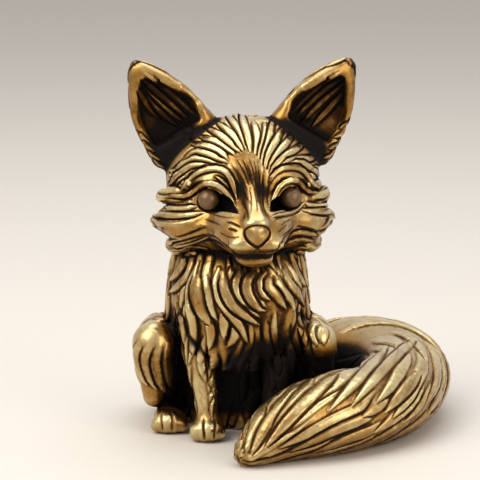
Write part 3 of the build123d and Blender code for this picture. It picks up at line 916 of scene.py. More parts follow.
BRUSH_LOCKS = [
    [(284, 370), (266, 386), (249, 407), (243, 435), (243, 453)],
    [(281, 386), (264, 404), (254, 427), (246, 453)],
    [(301, 376), (281, 404), (266, 425), (251, 455)],
    [(333, 350), (315, 373), (293, 404), (272, 432)],
    [(355, 357), (336, 372), (312, 395), (287, 422), (266, 447)],
    [(385, 347), (367, 369), (350, 388), (330, 410)],
    [(413, 340), (393, 358), (372, 382), (352, 406)],
    [(419, 373), (404, 392), (386, 412)],
]
HAUNCH_LOCKS = [
    [(139, 342), (136, 356), (140, 372), (147, 386)],
    [(149, 345), (146, 360), (150, 376), (157, 390)],
    [(160, 346), (157, 361), (160, 378), (165, 392)],
    [(169, 343), (168, 358), (169, 374), (171, 388)],
    [(306, 318), (303, 332), (306, 346)],
    [(315, 316), (314, 331), (317, 345)],
    [(324, 322), (323, 334), (324, 344)],
]
print("drawn on the chest:", len(CHEST_LOCKS + CHEST_WIDE_LOCKS), "locks, on the brush:", len(BRUSH_LOCKS))

# %% [markdown]
# The forelegs have no locks but a row of chevrons, as thin lines. The strands of the forehead are drawn
# out by a few pixels, so that they reach over the top of the head.

# %% Chevrons, and the locks laid on the skin
CHEVRONS = ((200, 350, 11), (201.5, 362, 10), (203, 374, 9), (205, 386, 8), (206, 397, 7))
CHEVRON_BEND_SHARE = 0.6
CHEVRON_POINT = 1.2  # pixels
CHEVRON_DROPS = (7, 15)  # pixels
STRAND_REACH = 8.0  # pixels
foreleg_lines = [
    [
        (x + side * spread, y),
        (x + side * spread * CHEVRON_BEND_SHARE, y + CHEVRON_DROPS[0]),
        (x + side * CHEVRON_POINT, y + CHEVRON_DROPS[1]),
    ]
    for x, y, spread in CHEVRONS
    for side in (-1, 1)
]
forehead_locks = []
for stroke in FOREHEAD_LOCKS:
    outer, inner = np.array(stroke[:2])
    forehead_locks.append([tuple(outer + STRAND_REACH * unit(outer - inner))] + stroke)
hand_locks = {"head": [], "chest": [], "tail": [], "legs": []}
for place, clay, strokes, size in (
    ("head", head_clay, forehead_locks, (0.43, 0.34, 1)),  # half width and half height in mm, hair lines
    ("chest", body_clay, CHEST_LOCKS, (0.6, 0.44, 1)),
    ("chest", body_clay, CHEST_WIDE_LOCKS, (0.95, 0.5, 2)),
    ("tail", body_clay, BRUSH_LOCKS, (0.75, 0.45, 1)),
    ("legs", body_clay, HAUNCH_LOCKS, (0.75, 0.36, 1)),
):
    hand_locks[place] += [(points, size) for points in drawn(clay, strokes)]
print("locks from the photograph:", {place: len(locks) for place, locks in hand_locks.items()})

# %% [markdown]
# ## Fur where the photograph doesn't look
#
# The back, the sides and the far side of the brush are furred in the same hand. Roots are scattered
# evenly, further apart along the fur than across it, and roots too near a lock from the photograph are
# left out. The locks furthest down the fur are laid first, so each lies over the root of the next, like
# tiles.

# %% Scatter the roots
TRIES_PER_ROOT = 7
ON_SKIN = 0.35  # mm


def roots_on(clay, name, flow, across, along, keep):
    """Evenly spread points of a solid's skin, further apart along the fur than across it."""
    corners, triangles = node_triangles(name)
    a, b, c = (corners[triangles[:, number]] for number in range(3))
    areas = np.linalg.norm(np.cross(b - a, c - a), axis=1) / 2
    count = int(areas.sum() / (across * along) * TRIES_PER_ROOT)
    chosen = draws.choice(len(areas), count, p=areas / areas.sum())
    u, v = draws.random((2, count, 1))
    u, v = np.where(u + v > 1, 1 - u, u), np.where(u + v > 1, 1 - v, v)
    points = a[chosen] + u * (b - a)[chosen] + v * (c - a)[chosen]
    points = clay.onto(points[np.abs(clay.at(points, clay.skin)) < ON_SKIN])
    points = points[keep(points)]
    ways = flow(points)
    taken = np.empty((len(points), 3))
    number = 0
    for point, way in zip(points, ways):
        gap = taken[:number] - point
        forward = gap @ way
        sideways = (gap**2).sum(1) - forward**2
        if ((forward / along) ** 2 + sideways / across**2 < 1).any():
            continue
        taken[number] = point
        number += 1
    return taken[:number]


print("roots are ready to be scattered")

# %% [markdown]
# From its root a lock follows the fur in small steps, with a soft bend that turns over on its way like an
# S. No two locks are equally long, wide or high.

# %% Comb the locks
LOCK_POINTS = 9
LOCK_BEND = 0.22
ROOT_WIDTHS = 1.75  # half widths between roots, across the fur
ROOT_LENGTHS = 0.62  # lengths between roots, along the fur
LENGTH_RANGE = (0.75, 1.3)
WIDTH_RANGE = (0.65, 1.25)
RISE_RANGE = (0.02, 0.15)  # mm
SHORTEST_LOCK = 4  # points
LEAP_PARTS = 3  # a lock with a step over one of so many parts of its length leaps over a gap


def fur(clay, name, flow, size, length, keep, order, stops=None, gap=1.0, bend=LOCK_BEND):
    """Locks all over a solid. size is half width, half height and hair lines. No lock passes its stops."""
    width, height, hairs = size
    roots = roots_on(clay, name, flow, width * ROOT_WIDTHS, length * ROOT_LENGTHS, keep)
    roots = roots[np.argsort(order(roots))]
    steps = length * draws.uniform(*LENGTH_RANGE, (len(roots), 1)) / (LOCK_POINTS - 1)
    bends = draws.normal(0, bend, (len(roots), 1))
    lines = [roots]
    for number in range(LOCK_POINTS - 1):
        way = flow(lines[-1])
        angle = bends * math.cos(math.pi * number / (LOCK_POINTS - 2))
        way = way * np.cos(angle) + np.cross(clay.outward(lines[-1]), way) * np.sin(angle)
        lines.append(clay.onto(lines[-1] + way * steps))
    lines = np.stack(lines, axis=1)
    ends = np.full(len(roots), LOCK_POINTS)
    if stops:
        stopped = stops(lines.reshape(-1, 3)).reshape(len(roots), LOCK_POINTS)
        ends = np.where(stopped.any(axis=1), stopped.argmax(axis=1), LOCK_POINTS)
    for points, end in zip(lines, ends):
        longest = np.linalg.norm(np.diff(points, axis=0), axis=1).max()
        if end >= SHORTEST_LOCK and longest < length / LEAP_PARTS:
            wide = width * draws.uniform(*WIDTH_RANGE)
            lay_lock(clay, points[:end], wide, height, draws.uniform(*RISE_RANGE), hairs, gap=gap)
    print(name, "locks:", len(roots))


# %% [markdown]
# A root has to keep clear of the locks from the photograph, the smooth face, the paws, the knees and the
# table. On the ears only the backs are furred, because the cups are worked later with listed strokes.

# %% Where roots may stand
CLEARANCE = {"chest": 0.7, "head": 0.6, "tail": 0.8, "legs": 0.8}  # mm from a lock of the photograph
FACE_CLEARANCE = 0.7  # mm
KNEE_CLEARANCE = 0.5  # mm
TRUNK_HEM = 0.8  # mm above the table
TAIL_HEM = 0.25  # mm
FOREHEAD_LEVEL = 27.5  # mm
FOREHEAD_FACING = -0.25
EAR_ROOT_GAP = 0.4  # mm
EAR_ROOT_FACING = 0.3
EAR_BACK_FACING = 0.15
EAR_BACK_REACH = 1.5  # mm


def clear_of(place, points):
    """Whether points keep clear of the photograph's locks at a place."""
    nearest = np.full(len(points), np.inf)
    for line, _ in hand_locks[place]:
        for point in line:
            nearest = np.minimum(nearest, ((points - point) ** 2).sum(1))
    return nearest > CLEARANCE[place] ** 2


def keep_trunk(points):
    return clear_of("chest", points) & (points[:, 2] > TRUNK_HEM)


def keep_head(points):
    face = (points - face_middle) / (FACE_RADII + FACE_CLEARANCE)
    facing = head_clay.outward(points)[:, 1]
    on_forehead = (facing < FOREHEAD_FACING) & (points[:, 2] > FOREHEAD_LEVEL)
    before_ears = at_ears(points) & (facing < EAR_ROOT_FACING)
    return clear_of("head", points) & ((face**2).sum(1) > 1) & ~on_forehead & ~before_ears


def at_ears(points):
    near = [head_clay.near_solid(points, name) < EAR_ROOT_GAP for name in EARS]
    return near[0] | near[1]


def keep_tail(points):
    return clear_of("tail", points) & (points[:, 2] > TAIL_HEM)


def keep_foreleg(points):
    return (points[:, 2] > PAW_TOP) & (body_clay.outward(points)[:, 1] > 0)


def keep_haunch(points):
    clear = np.ones(len(points), bool)
    for middle in knee_middles.values():
        clear &= ((points - middle) ** 2).sum(1) > (KNEE_RADIUS + KNEE_CLEARANCE) ** 2
    return clear & (points[:, 2] > PAW_TOP) & clear_of("legs", points)


def keep_ear(points):
    return (head_clay.outward(points)[:, 1] > EAR_BACK_FACING) & (out_of_reach(points) < EAR_BACK_REACH)


def from_below(points):
    return points[:, 2]


def from_nose(points):
    return -((points - nose_point) ** 2).sum(1)


def from_tail_tip(points):
    return -nearest_on_tail(points)


def from_top(points):
    return -points[:, 2]


print("roots keep clear of", sum(len(locks) for locks in hand_locks.values()), "locks")

# %% [markdown]
# The fur laid by rule comes first and the locks of the photograph over it. The brush has the longest and
# straightest locks, with wide grooves between them.

# %% Lay the fur
# Half width and half height in mm and the number of hair lines, and the length in mm
TRUNK_FUR = ((0.6, 0.36, 1), 5.4)
TAIL_FUR = ((0.85, 0.45, 2), 12.0)
FORELEG_FUR = ((0.42, 0.28, 0), 3.4)
HAUNCH_FUR = ((0.75, 0.34, 1), 5.6)
HEAD_FUR = ((0.5, 0.34, 1), 4.2)
EAR_FUR = ((0.42, 0.24, 0), 4.0)
TAIL_GAP = 1.2
TAIL_BEND = 0.06
HAND_GAPS = {"tail": 1.5, "legs": 1.2, "chest": 1.35}
HAND_RISE = 0.14  # mm
CHEVRON_RADIUS = 0.12  # mm
fur(body_clay, "trunk", down_trunk, *TRUNK_FUR, keep_trunk, from_below)
fur(body_clay, "tail", along_tail, *TAIL_FUR, keep_tail, from_tail_tip, gap=TAIL_GAP, bend=TAIL_BEND)
for name in LEGS:
    if "fore" in name:
        fur(body_clay, name, down_leg, *FORELEG_FUR, keep_foreleg, from_below)
    else:
        fur(body_clay, name, down_haunch, *HAUNCH_FUR, keep_haunch, from_below)
fur(head_clay, "head", over_head, *HEAD_FUR, keep_head, from_nose, stops=at_ears)
for name in EARS:
    fur(head_clay, name, along_ear(name), *EAR_FUR, keep_ear, from_top)
for place, gap in HAND_GAPS.items():
    for points, (width, height, hairs) in hand_locks[place]:
        lay_lock(body_clay, points, width, height, HAND_RISE, hairs, gap=gap)
for points in drawn(body_clay, foreleg_lines):
    cut_line(body_clay, points, CHEVRON_RADIUS)
for points, (width, height, hairs) in hand_locks["head"]:
    lay_lock(head_clay, points, width, height, 0.0, hairs, STRAND_SHARES)
print("fur laid, with chevrons:", len(foreleg_lines) // 2)

# %% [markdown]
# ## Face
#
# The face is smooth, with few but deep lines. It is built as a carver would: first the masses, which are
# the bridge of the nose, two pads for the upper lip, the chin and the bands of the cheeks. Then the clay
# settles, and strands, lids and thin dark lines are worked into it.

# %% Masses of the face
HEAD_TURN = math.radians(7)
head_axes = np.array(
    [
        [math.cos(HEAD_TURN), -math.sin(HEAD_TURN), 0],
        [math.sin(HEAD_TURN), math.cos(HEAD_TURN), 0],
        [0, 0, 1],
    ]
)
BRIDGE_ENDS = [(249.5, 187), (257.5, 224)]
BRIDGE_POINTS = 5
BRIDGE_WIDTHS = np.linspace(0.45, 0.95, BRIDGE_POINTS)  # mm, half
BRIDGE_HEIGHT = 0.75  # mm, half
BRIDGE_SINKS = np.array([[0.55], [0.5], [0.5], [0.56], [0.68]])  # mm
BRIDGE_BLEND = 0.7  # mm
SHAVED_POINTS = 3
SHAVE_WIDTH, SHAVE_HEIGHT, SHAVE_LIFT, SHAVE_BLEND = 2.0, 0.8, 1.5, 0.5  # mm
LIP_PADS = [(243.5, 246.5), (269.5, 246)]
LIP_SHIFT = np.array([0, 0.6, 0.1])  # mm
LIP_RADII, LIP_BLEND = (1.55, 1.05, 0.8), 0.75  # mm
CHIN = (254.5, 260.5)
CHIN_SHIFT = np.array([0, 0.95, 0.05])  # mm
CHIN_RADII, CHIN_BLEND = (1.95, 1.4, 0.95), 0.55  # mm
CHEEK_BANDS = [
    [(203, 217), (193.5, 221), (181.4, 225), (164, 226), (152, 224)],
    [(222, 231), (205.6, 227.5), (191, 231.5), (175.3, 234), (160.8, 233)],
    [(232, 246), (225, 239.5), (216, 234.5), (206, 233.5), (196, 237.5), (185, 240.5), (170, 243)],
    [(277, 223), (290.4, 217.4), (307.4, 218.6), (328, 220.5)],
    [(283, 232), (291, 225.5), (300, 222.5), (313, 225.5), (326, 227)],
]
bridge = head_clay.seen(BRIDGE_ENDS)
bridge_out = head_clay.outward(bridge).mean(axis=0)
bridge = np.linspace(bridge[0], bridge[1], BRIDGE_POINTS) - BRIDGE_SINKS * bridge_out
bridge_faces = np.tile(bridge_out, (BRIDGE_POINTS, 1))
bridge_heights = np.full(BRIDGE_POINTS, BRIDGE_HEIGHT)
shave = bridge[-SHAVED_POINTS:] + SHAVE_LIFT * bridge_out
shave_widths, shave_heights = np.full(SHAVED_POINTS, SHAVE_WIDTH), np.full(SHAVED_POINTS, SHAVE_HEIGHT)
head_clay.ribbon(shave, shave_widths, shave_heights, bridge_faces, cut=True, blend=SHAVE_BLEND)
head_clay.ribbon(bridge, BRIDGE_WIDTHS, bridge_heights, bridge_faces, blend=BRIDGE_BLEND)
for middle in head_clay.seen(LIP_PADS):
    head_clay.egg(middle + LIP_SHIFT, LIP_RADII, head_axes, blend=LIP_BLEND)
chin_middle = head_clay.seen([CHIN])[0]
head_clay.egg(chin_middle + CHIN_SHIFT, CHIN_RADII, head_axes, blend=CHIN_BLEND)
for points in drawn(head_clay, CHEEK_BANDS):
    lay_ridge(head_clay, points, width=0.62, height=0.5, rise=0.26, end_share=0.4, blend=0.3)
head_clay.settle(SETTLE_BLUR)
print("masses laid")

# %% [markdown]
# Round the eyes the strands run in arcs. A lid lies close over each opening and a brow over each lid, and
# both end in points. Below, tufts sweep back from the muzzle past the outline of the head.

# %% Strands round the eyes and on the cheeks
BROW_STRANDS = [
    [(181, 190), (189.6, 179.4), (196, 173.7), (203, 170.3), (211, 168.4), (219, 168.6), (226, 172),
     (231, 179), (234.5, 190), (237, 199)],
    [(269, 184), (273.4, 174.8), (281, 169), (288, 167.4), (295, 167.4), (302, 169.5), (308, 176.4),
     (313.4, 184), (319, 188)],
]
BROW_HAIRS = [
    [(215, 176), (222, 180.5), (228, 188), (232, 196)],
]
LID_STRANDS = [
    [(163.5, 196.5), (172, 196), (181, 196.4), (187.5, 195.4), (193, 191.5), (199.2, 186.7), (206.2, 183.6),
     (212.6, 183.6), (219.5, 186.2), (226, 192), (231, 199), (235.5, 207)],
    [(272, 204), (275, 195), (280, 186), (286.5, 181.2), (292.4, 180), (299, 182.2), (304.6, 188),
     (309.2, 191.8), (317, 193)],
]
LOWER_LIDS = [
    [(306, 201.3), (300.8, 206), (295.2, 211), (286.8, 213.4), (278.3, 215), (272.5, 217)],
]
CHEEK_LOCKS = [
    [(197, 206), (187, 207.5), (176, 208.5), (165, 208), (156, 207)],
    [(203, 212), (190, 214.5), (176, 215.5), (163, 215), (153, 214)],
    [(209, 236.5), (197, 240.5), (184, 244.5), (172, 246.5)],
    [(230, 257.5), (220, 253), (208, 249), (196, 246.8), (184, 246.6)],
    [(230.5, 262.5), (221, 258), (210, 255.8), (199, 254.6), (189, 252)],
    [(231, 265.5), (224, 260.8), (217, 259.8), (211.5, 262)],
    [(305, 203), (314, 205.5), (328, 205.5)],
    [(303, 209.5), (315, 211.3), (331, 211)],
    [(288, 238.5), (295, 233), (305, 233), (316, 235)],
    [(284, 246), (292, 241.5), (302, 239.7), (312, 240.8)],
    [(279, 255), (288, 250), (298, 247.8), (307, 248)],
    [(276.5, 262), (284, 257), (294, 254.8)],
]
for strokes, width, height, rise, shares in (  # mm
    (CHEEK_LOCKS, 0.4, 0.36, 0.14, STRAND_SHARES),
    (BROW_STRANDS, 0.36, 0.36, 0.2, STRAND_SHARES),
    (BROW_HAIRS, 0.16, 0.2, 0.1, LOCK_SHARES),
    (LID_STRANDS, 0.34, 0.34, 0.2, STRAND_SHARES),
    (LOWER_LIDS, 0.22, 0.26, 0.2, STRAND_SHARES),
):
    for points in drawn(head_clay, strokes):
        lay_lock(head_clay, points, width, height, rise, 0, shares)
print("strands laid")

# %% [markdown]
# The lines are thin grooves, which the darkening bath fills with black. They part the wedge of the
# forehead from the brows, run down both sides of the bridge and draw the whiskers, the lips and the chin.

# %% Lines of the face
WEDGE_LINES = [
    [(225.5, 163), (229, 170.5), (234, 177.5), (240.4, 187), (246.5, 197.6), (251, 205)],
    [(257.5, 160), (258.5, 169), (259.5, 180.4), (259, 192), (257.5, 203)],
    [(236, 168), (242, 179), (247, 190)],
    [(247, 163), (251, 175), (253.5, 187)],
    [(231, 163), (237.5, 175), (243.5, 189)],
    [(236.5, 159), (244.5, 173), (250, 188)],
    [(242, 158), (247, 170), (251.5, 184)],
    [(249, 158), (253.5, 172), (256, 187)],
    [(254, 160), (256.5, 174), (257, 190)],
    [(249, 186), (251.5, 200), (250.5, 214)],
    [(255, 190), (257, 203), (257.5, 214)],
    [(259.5, 192), (261, 204), (264, 214)],
]
BRIDGE_LINES = [
    [(264.3, 167.6), (263.2, 178.2), (262.9, 188.7), (262.9, 199.2), (263.8, 207.6), (266.8, 213),
     (271, 217)],
    [(242.5, 202), (245.4, 207.6), (247.5, 213.2), (247.8, 221)],
    [(271, 178), (268.5, 188), (267.5, 199), (269.5, 208)],
    [(274, 222.4), (277, 218.6), (284.6, 216.4), (293, 214.6)],
]
CHEEK_LINES = [
    [(158.3, 219.5), (169.2, 221.6), (185, 220), (195.9, 217.5)],
    [(169.2, 238), (181.4, 236.2), (193.5, 231.9), (200.7, 228.4), (209, 226)],
    [(185, 247.6), (197.1, 249.2), (205.6, 251.4), (213.5, 251.6)],
    [(193, 199), (182, 201.8), (171.5, 202.6), (160, 200.5)],
    [(309.2, 214.7), (318, 215.8), (330, 216.3)],
    [(308, 200.6), (315, 201), (323, 199)],
    [(282.5, 236.7), (290.4, 229.6), (297.7, 226.3), (307.4, 228.2), (316, 230)],
    [(294, 236.6), (302.5, 236.4), (312.2, 239)],
    [(293, 245), (300, 243.8), (308, 244.2)],
]
MUZZLE_LINES = [
    [(236, 216.5), (228, 217.5), (219, 216), (210, 212.5)],
    [(222, 226), (214, 222.5), (206, 219.5)],
    [(240, 236.5), (232, 237.5), (225, 235.5), (218, 231.5)],
    [(280, 226), (286, 221.5), (292, 219)],
    [(277, 233), (282, 229), (287, 224.5)],
]
WHISKER_LINES = [
    [(226.2, 221.6), (232.7, 223.2), (240.3, 227.2)],
    [(227.4, 228.4), (232.5, 229.6), (237.3, 231.2)],
]
LIP_LINES = [
    [(257.1, 246.6), (256.2, 250.4), (252.5, 253.4), (245.5, 254.2), (238, 252.8), (231.5, 248.8),
     (224.2, 244.6), (218, 238.6), (210.4, 235.6), (203.2, 237.4), (197.1, 240), (186, 243.4),
     (176, 245)],
    [(257.1, 246.6), (258.2, 250.4), (261.6, 253.4), (267.5, 254.2), (273, 252.4), (276.6, 249),
     (279, 246.8), (282.2, 241.4), (286.6, 235.6), (292, 229.9)],
]
MOUTH_LINE = [(231.5, 250.5), (237, 253.8), (245, 255.4), (252.5, 254.9), (257, 253.4), (261.5, 254.9),
              (267.5, 255.4), (273, 253.8), (276.5, 250.5)]
CHIN_LINES = [
    [(229.8, 251.3), (232.2, 258.3), (234.7, 264.4), (243, 268), (256, 268.8), (268, 267), (274, 263),
     (277.5, 257), (279.5, 250)],
]
CHEEK_PIT = [(204, 240.4), (212, 240), (220, 244), (226, 248)]
print("lines of the wedge and the whiskers:", len(WEDGE_LINES), len(WHISKER_LINES))

# %% [markdown]
# The mouth and the pit of the cheek beside it are wider and deeper than the other lines.

# %% Cut the lines
for lines, radius in (  # mm
    (WEDGE_LINES, 0.1),
    (BRIDGE_LINES, 0.12),
    (CHEEK_LINES, 0.13),
    (MUZZLE_LINES, 0.09),
    (WHISKER_LINES, 0.15),
    (LIP_LINES, 0.12),
    (CHIN_LINES, 0.11),
):
    for points in drawn(head_clay, lines):
        cut_line(head_clay, points, radius)
for points in drawn(head_clay, [MOUTH_LINE]):
    cut_line(head_clay, points, radius=0.25, depth=0.08, end_share=0.35)
for points in drawn(head_clay, [CHEEK_PIT]):
    cut_line(head_clay, points, radius=0.3, depth=0.02)
print("lines cut")

# %% [markdown]
# The nose is a rounded button, wide above and pointed below, with a dark line all round it.

# %% Nose
NOSE_LINE = [(246, 231), (250.5, 228.3), (257.5, 227.4), (264.8, 228.4), (268.6, 231.4), (267.6, 236),
             (263.4, 241.2), (257.2, 245.6), (250.6, 241.2), (246.8, 236)]
NOSE_MIDDLE = (257.3, 234.5)
NOSE_POINTS = 40
NOSE_RINGS = (0.78, 0.56, 0.32, 0.1)  # shares of the way from its heart to its edge
NOSE_RING_RADIUS, NOSE_RING_BLEND, NOSE_SINK = 0.34, 0.12, 0.28  # mm
NOSE_RISE = 0.42  # mm
NOSE_ROUNDING = 2.2
NOSE_GROOVE, NOSE_GROOVE_OUT = 0.22, 0.1  # mm
nose = head_clay.seen([NOSE_MIDDLE])[0]
nose_edge = head_clay.seen(smooth_line(NOSE_LINE + NOSE_LINE[:1], NOSE_POINTS))
nose_heart = nose_edge.mean(axis=0)
nose_groove = nose_edge + NOSE_GROOVE_OUT * unit(nose_edge - nose_heart)
head_clay.tube(nose_groove, [NOSE_GROOVE] * NOSE_POINTS, cut=True, inked=True)
for share in NOSE_RINGS:
    ring = nose_heart + (nose_edge - nose_heart) * share
    lift = np.array([0, -NOSE_RISE * (1 - share**NOSE_ROUNDING), 0])
    ring = ring + lift + np.array([0, NOSE_SINK, 0])
    head_clay.tube(ring, [NOSE_RING_RADIUS] * NOSE_POINTS, blend=NOSE_RING_BLEND)
print("nose at", nose.round(2))

# %% [markdown]
# The openings for the eyes are cut as almonds with the bead in them. A line runs through each opening from
# corner to corner, and its cutter is as wide as the opening is high. The inner corner stays dark and deep.

# %% Eye openings
BEADS = {"right_eye": (208.5, 199.7), "left_eye": (290.8, 197.8)}
BEAD_RADIUS = 1.12  # mm
BEAD_FORWARD = 0.05  # mm
# A line from the outer to the inner corner, and the height of the opening at each of its points, in pixels
EYE_OPENINGS = {
    "right_eye": (
        [(191, 202.6), (197.5, 200.4), (205, 198.8), (212.5, 200.2), (219.5, 202.2), (226.5, 206),
         (232.5, 210), (238, 214.5)],
        [0.8, 4.8, 9.0, 11.0, 10.2, 7.2, 4.0, 1.0],
    ),
    "left_eye": (
        [(308.5, 197.6), (303, 197.6), (298, 197.6), (291.7, 198.0), (285, 199.6), (279.5, 203.4),
         (275, 207.6), (270.5, 212.4)],
        [0.8, 4.6, 9.4, 11.8, 10.6, 7.6, 4.6, 1.0],
    ),
}
OPENING_SHARE = 0.96
OPENING_POINTS = 22
SOCKET_GAP = 0.2  # mm
CORNER_DEPTH = 0.3  # mm
OPENING_FORWARD = 0.45  # mm


def on_upright_plane(pixels, through):
    """Where the rays through pixels meet the upright plane through a point, square to the Y axis."""
    rays = photo_rays(pixels)
    return eye_point + rays * ((through[1] - eye_point[1]) / rays[:, 1])[:, None]


bead_middles = {}
for name, (line, heights) in EYE_OPENINGS.items():
    middle = on_upright_plane([BEADS[name]], eye_middles[name] - np.array([0, BEAD_FORWARD, 0]))[0]
    points = on_upright_plane(line, middle - np.array([0, OPENING_FORWARD, 0]))
    skin_points = head_clay.seen(line)
    nearer = (skin_points[:, 1] + CORNER_DEPTH < points[:, 1])[:, None]
    points = np.where(nearer, skin_points + np.array([0, CORNER_DEPTH, 0]), points)
    radii = np.array(heights) * VIEW_DISTANCE / VIEW_PIXELS * OPENING_SHARE
    radii = np.interp(np.linspace(0, len(heights) - 1, OPENING_POINTS), range(len(heights)), radii)
    head_clay.tube(smooth_line(points, OPENING_POINTS), radii, cut=True, inked=True)
    head_clay.egg(middle, [BEAD_RADIUS + SOCKET_GAP] * 3, cut=True)
    bead_middles[name] = middle
for name in BEADS:
    print(name, "bead moved by", (bead_middles[name] - eye_middles[name]).round(2), "mm")

# %% [markdown]
# ## Ears
#
# Each ear is a deep cup with a smooth rolled rim. Long locks of hair grow out of it along the inner edge,
# and short tufts stand on the lower outer rim. The cups are thin, and a groove could cut through them, so
# the core of each ear's solid is joined again at the end.

# %% Rims and hair of the ears
EAR_RIMS = [
    [(136, 62), (131.5, 72), (131.5, 88), (134.5, 106), (141.5, 127), (151.5, 150), (164, 172)],
    [(135, 64), (148, 68), (168, 80), (190, 100), (206, 117), (214, 128)],
    [(353.5, 60), (354.5, 75), (349.5, 100), (337.5, 134), (322.5, 160)],
    [(352, 61), (338, 65), (315, 80), (293, 101), (276, 121)],
]
EAR_HAIR = [
    [(138, 90), (144, 101), (152, 111), (160, 119)],
    [(149, 98), (160, 111), (171, 121), (180, 127)],
    [(146, 87), (160, 101), (176, 116), (190, 126)],
    [(143, 79), (158, 92), (175, 107), (192, 121)],
    [(146, 74), (163, 86), (180, 100), (198, 117)],
    [(341, 94), (331, 106), (320, 118), (311, 128)],
    [(342, 84), (326, 97), (311, 112), (300, 124)],
    [(343, 77), (325, 89), (308, 104), (294, 118)],
    [(341, 72), (324, 82), (305, 98), (290, 114)],
]
EAR_TUFTS = [
    [(139, 133), (144, 139), (151, 144)],
    [(142, 141), (148, 147), (156, 152)],
    [(147, 149), (153, 155.5), (161, 160)],
    [(153, 158), (159, 164), (167, 168)],
    [(350, 116), (346, 124), (339, 129)],
    [(346, 126), (341.5, 134), (334, 138)],
    [(341, 137), (336, 145), (328, 149)],
    [(335, 148), (330, 155), (322, 158)],
]
EAR_CORE = 0.33  # mm under the skin of its solid
for points in drawn(head_clay, EAR_RIMS):
    lay_ridge(head_clay, points, width=0.48, height=0.42, rise=0.1, end_share=0.8, blend=0.25)
for points in drawn(head_clay, EAR_HAIR):
    lay_lock(head_clay, points, width=0.4, height=0.36, rise=0.24)
for points in drawn(head_clay, EAR_TUFTS):
    lay_lock(head_clay, points, width=0.26, height=0.26, rise=0.18, hairs=0)
for name in EARS:
    solid = read_grid(head_clay.grids[name], head_clay.low, head_clay.count)
    np.minimum(head_clay.field, solid + EAR_CORE, out=head_clay.field)
print("ears dressed")

# %% [markdown]
# ## Paws
#
# Each paw has three toes, parted by two short grooves that run up over its front.

# %% Toes
TOE_GAP = 0.62  # mm from the middle of the paw
TOE_PATH = ((-0.2, 0.15), (-0.2, 0.6), (-0.2, 1.1), (0.5, 1.9), (1.4, 2.4))  # mm behind the front, mm up
TOE_TURN = 0.1  # mm
TOE_GROOVE = 0.15  # mm
TOE_POINTS = 9
PAW_PIXELS = {"right_foreleg": (209.5, 436), "right_hind_leg": (166.5, 426)}
for name, pixel in PAW_PIXELS.items():
    front = body_clay.seen([pixel])[0]
    other = name.replace("right", "left")
    across = node_boxes[name][0][0] + node_boxes[other][1][0]
    for middle in (front[0], across - front[0]):
        for side in (-1, 1):
            x = middle + side * TOE_GAP
            path = np.array([(x, front[1] + back, up) for back, up in TOE_PATH])
            path[-1, 0] -= side * TOE_TURN
            cut_line(body_clay, body_clay.onto(smooth_line(path, TOE_POINTS)), TOE_GROOVE)
print("toes cut")

# %% [markdown]
# ## Finish the wax
#
# A last slight blur takes the sharp lines off, as casting does, and everything below the table is cut
# away. Two readings of the finished clay are kept for the colours. One says whether a point lies in a
# fine groove or on a fine ridge, and the other whether it lies in a wide hollow or on a wide swelling.

# %% Blur, level and read
CAST_BLUR = 0.06  # mm
GROOVE_BLUR = 0.26  # mm
SWELL_BLUR = 1.0  # mm
SWELL_STRIDE = 4


def finish_clay(clay):
    """Blurs and levels the clay and keeps its two blurred readings."""
    clay.field = blurred(clay.field, CAST_BLUR / clay.cell)
    heights = ((np.arange(clay.count[2]) + clay.low[2]) * clay.cell).astype(np.float32)
    np.maximum(clay.field, -heights, out=clay.field)
    clay.grooves = blurred(clay.field, GROOVE_BLUR / clay.cell)
    step = SWELL_STRIDE
    clay.swells = blurred(clay.field[::step, ::step, ::step], SWELL_BLUR / clay.cell / step)


finish_clay(head_clay)
finish_clay(body_clay)
print("clay finished")

# %% [markdown]
# ## Part the clay at the seams
#
# The real fox is brazed together from a few castings. Each piece takes the clay that is nearer to its own
# solid than to any other, so the pieces meet face to face. OpenVDB turns it into a mesh, with fewer and
# larger faces where the surface is flat.

# %% From the clay to meshes
SEAM_OVERLAP = 0.05  # mm
SMALLEST_ISLAND = 300  # corners
MESH_THRIFT = 0.04


def without_crumbs(points, triangles, quads):
    """The mesh without loose bits that the parting leaves."""
    label = np.arange(len(points))
    edges = np.vstack([triangles[:, [0, 1]], triangles[:, [1, 2]], quads[:, [0, 1]], quads[:, [1, 2]],
                       quads[:, [2, 3]]])
    while True:
        low = np.minimum(label[edges[:, 0]], label[edges[:, 1]])
        fresh = label.copy()
        np.minimum.at(fresh, edges[:, 0], low)
        np.minimum.at(fresh, edges[:, 1], low)
        fresh = fresh[fresh]
        if (fresh == label).all():
            break
        label = fresh
    sizes = np.bincount(label, minlength=len(points))
    kept = sizes[label] >= SMALLEST_ISLAND
    number = np.cumsum(kept) - 1
    return points[kept], number[triangles[kept[triangles[:, 0]]]], number[quads[kept[quads[:, 0]]]]


def part_clay(clay, name):
    """The mesh of one solid's clay, and the fields that tell how far off its neighbours are."""
    low, high = node_boxes[name]
    window, _ = clay.window(low - CLAY_ROOM, high + CLAY_ROOM)
    first = np.array([part.start for part in window]) + clay.low
    count = [part.stop - part.start for part in window]
    own = read_grid(clay.grids[name], first, count)
    others = np.full(count, clay.band, np.float32)
    for other, grid in clay.grids.items():
        if other != name and "dowel" not in other and "eye" not in other:
            np.minimum(others, read_grid(grid, first, count), out=others)
    seam = (own - others) / 2
    grid = vdb.FloatGrid(float(clay.band))
    part = np.maximum(clay.field[window], seam - SEAM_OVERLAP)
    grid.copyFromArray(np.ascontiguousarray(part), ijk=(0, 0, 0))
    points, triangles, quads = grid.convertToPolygons(isovalue=0.0, adaptivity=MESH_THRIFT)
    points = (points.astype(float) + first) * clay.cell
    return without_crumbs(points, triangles.astype(int), quads.astype(int)), first, seam, others


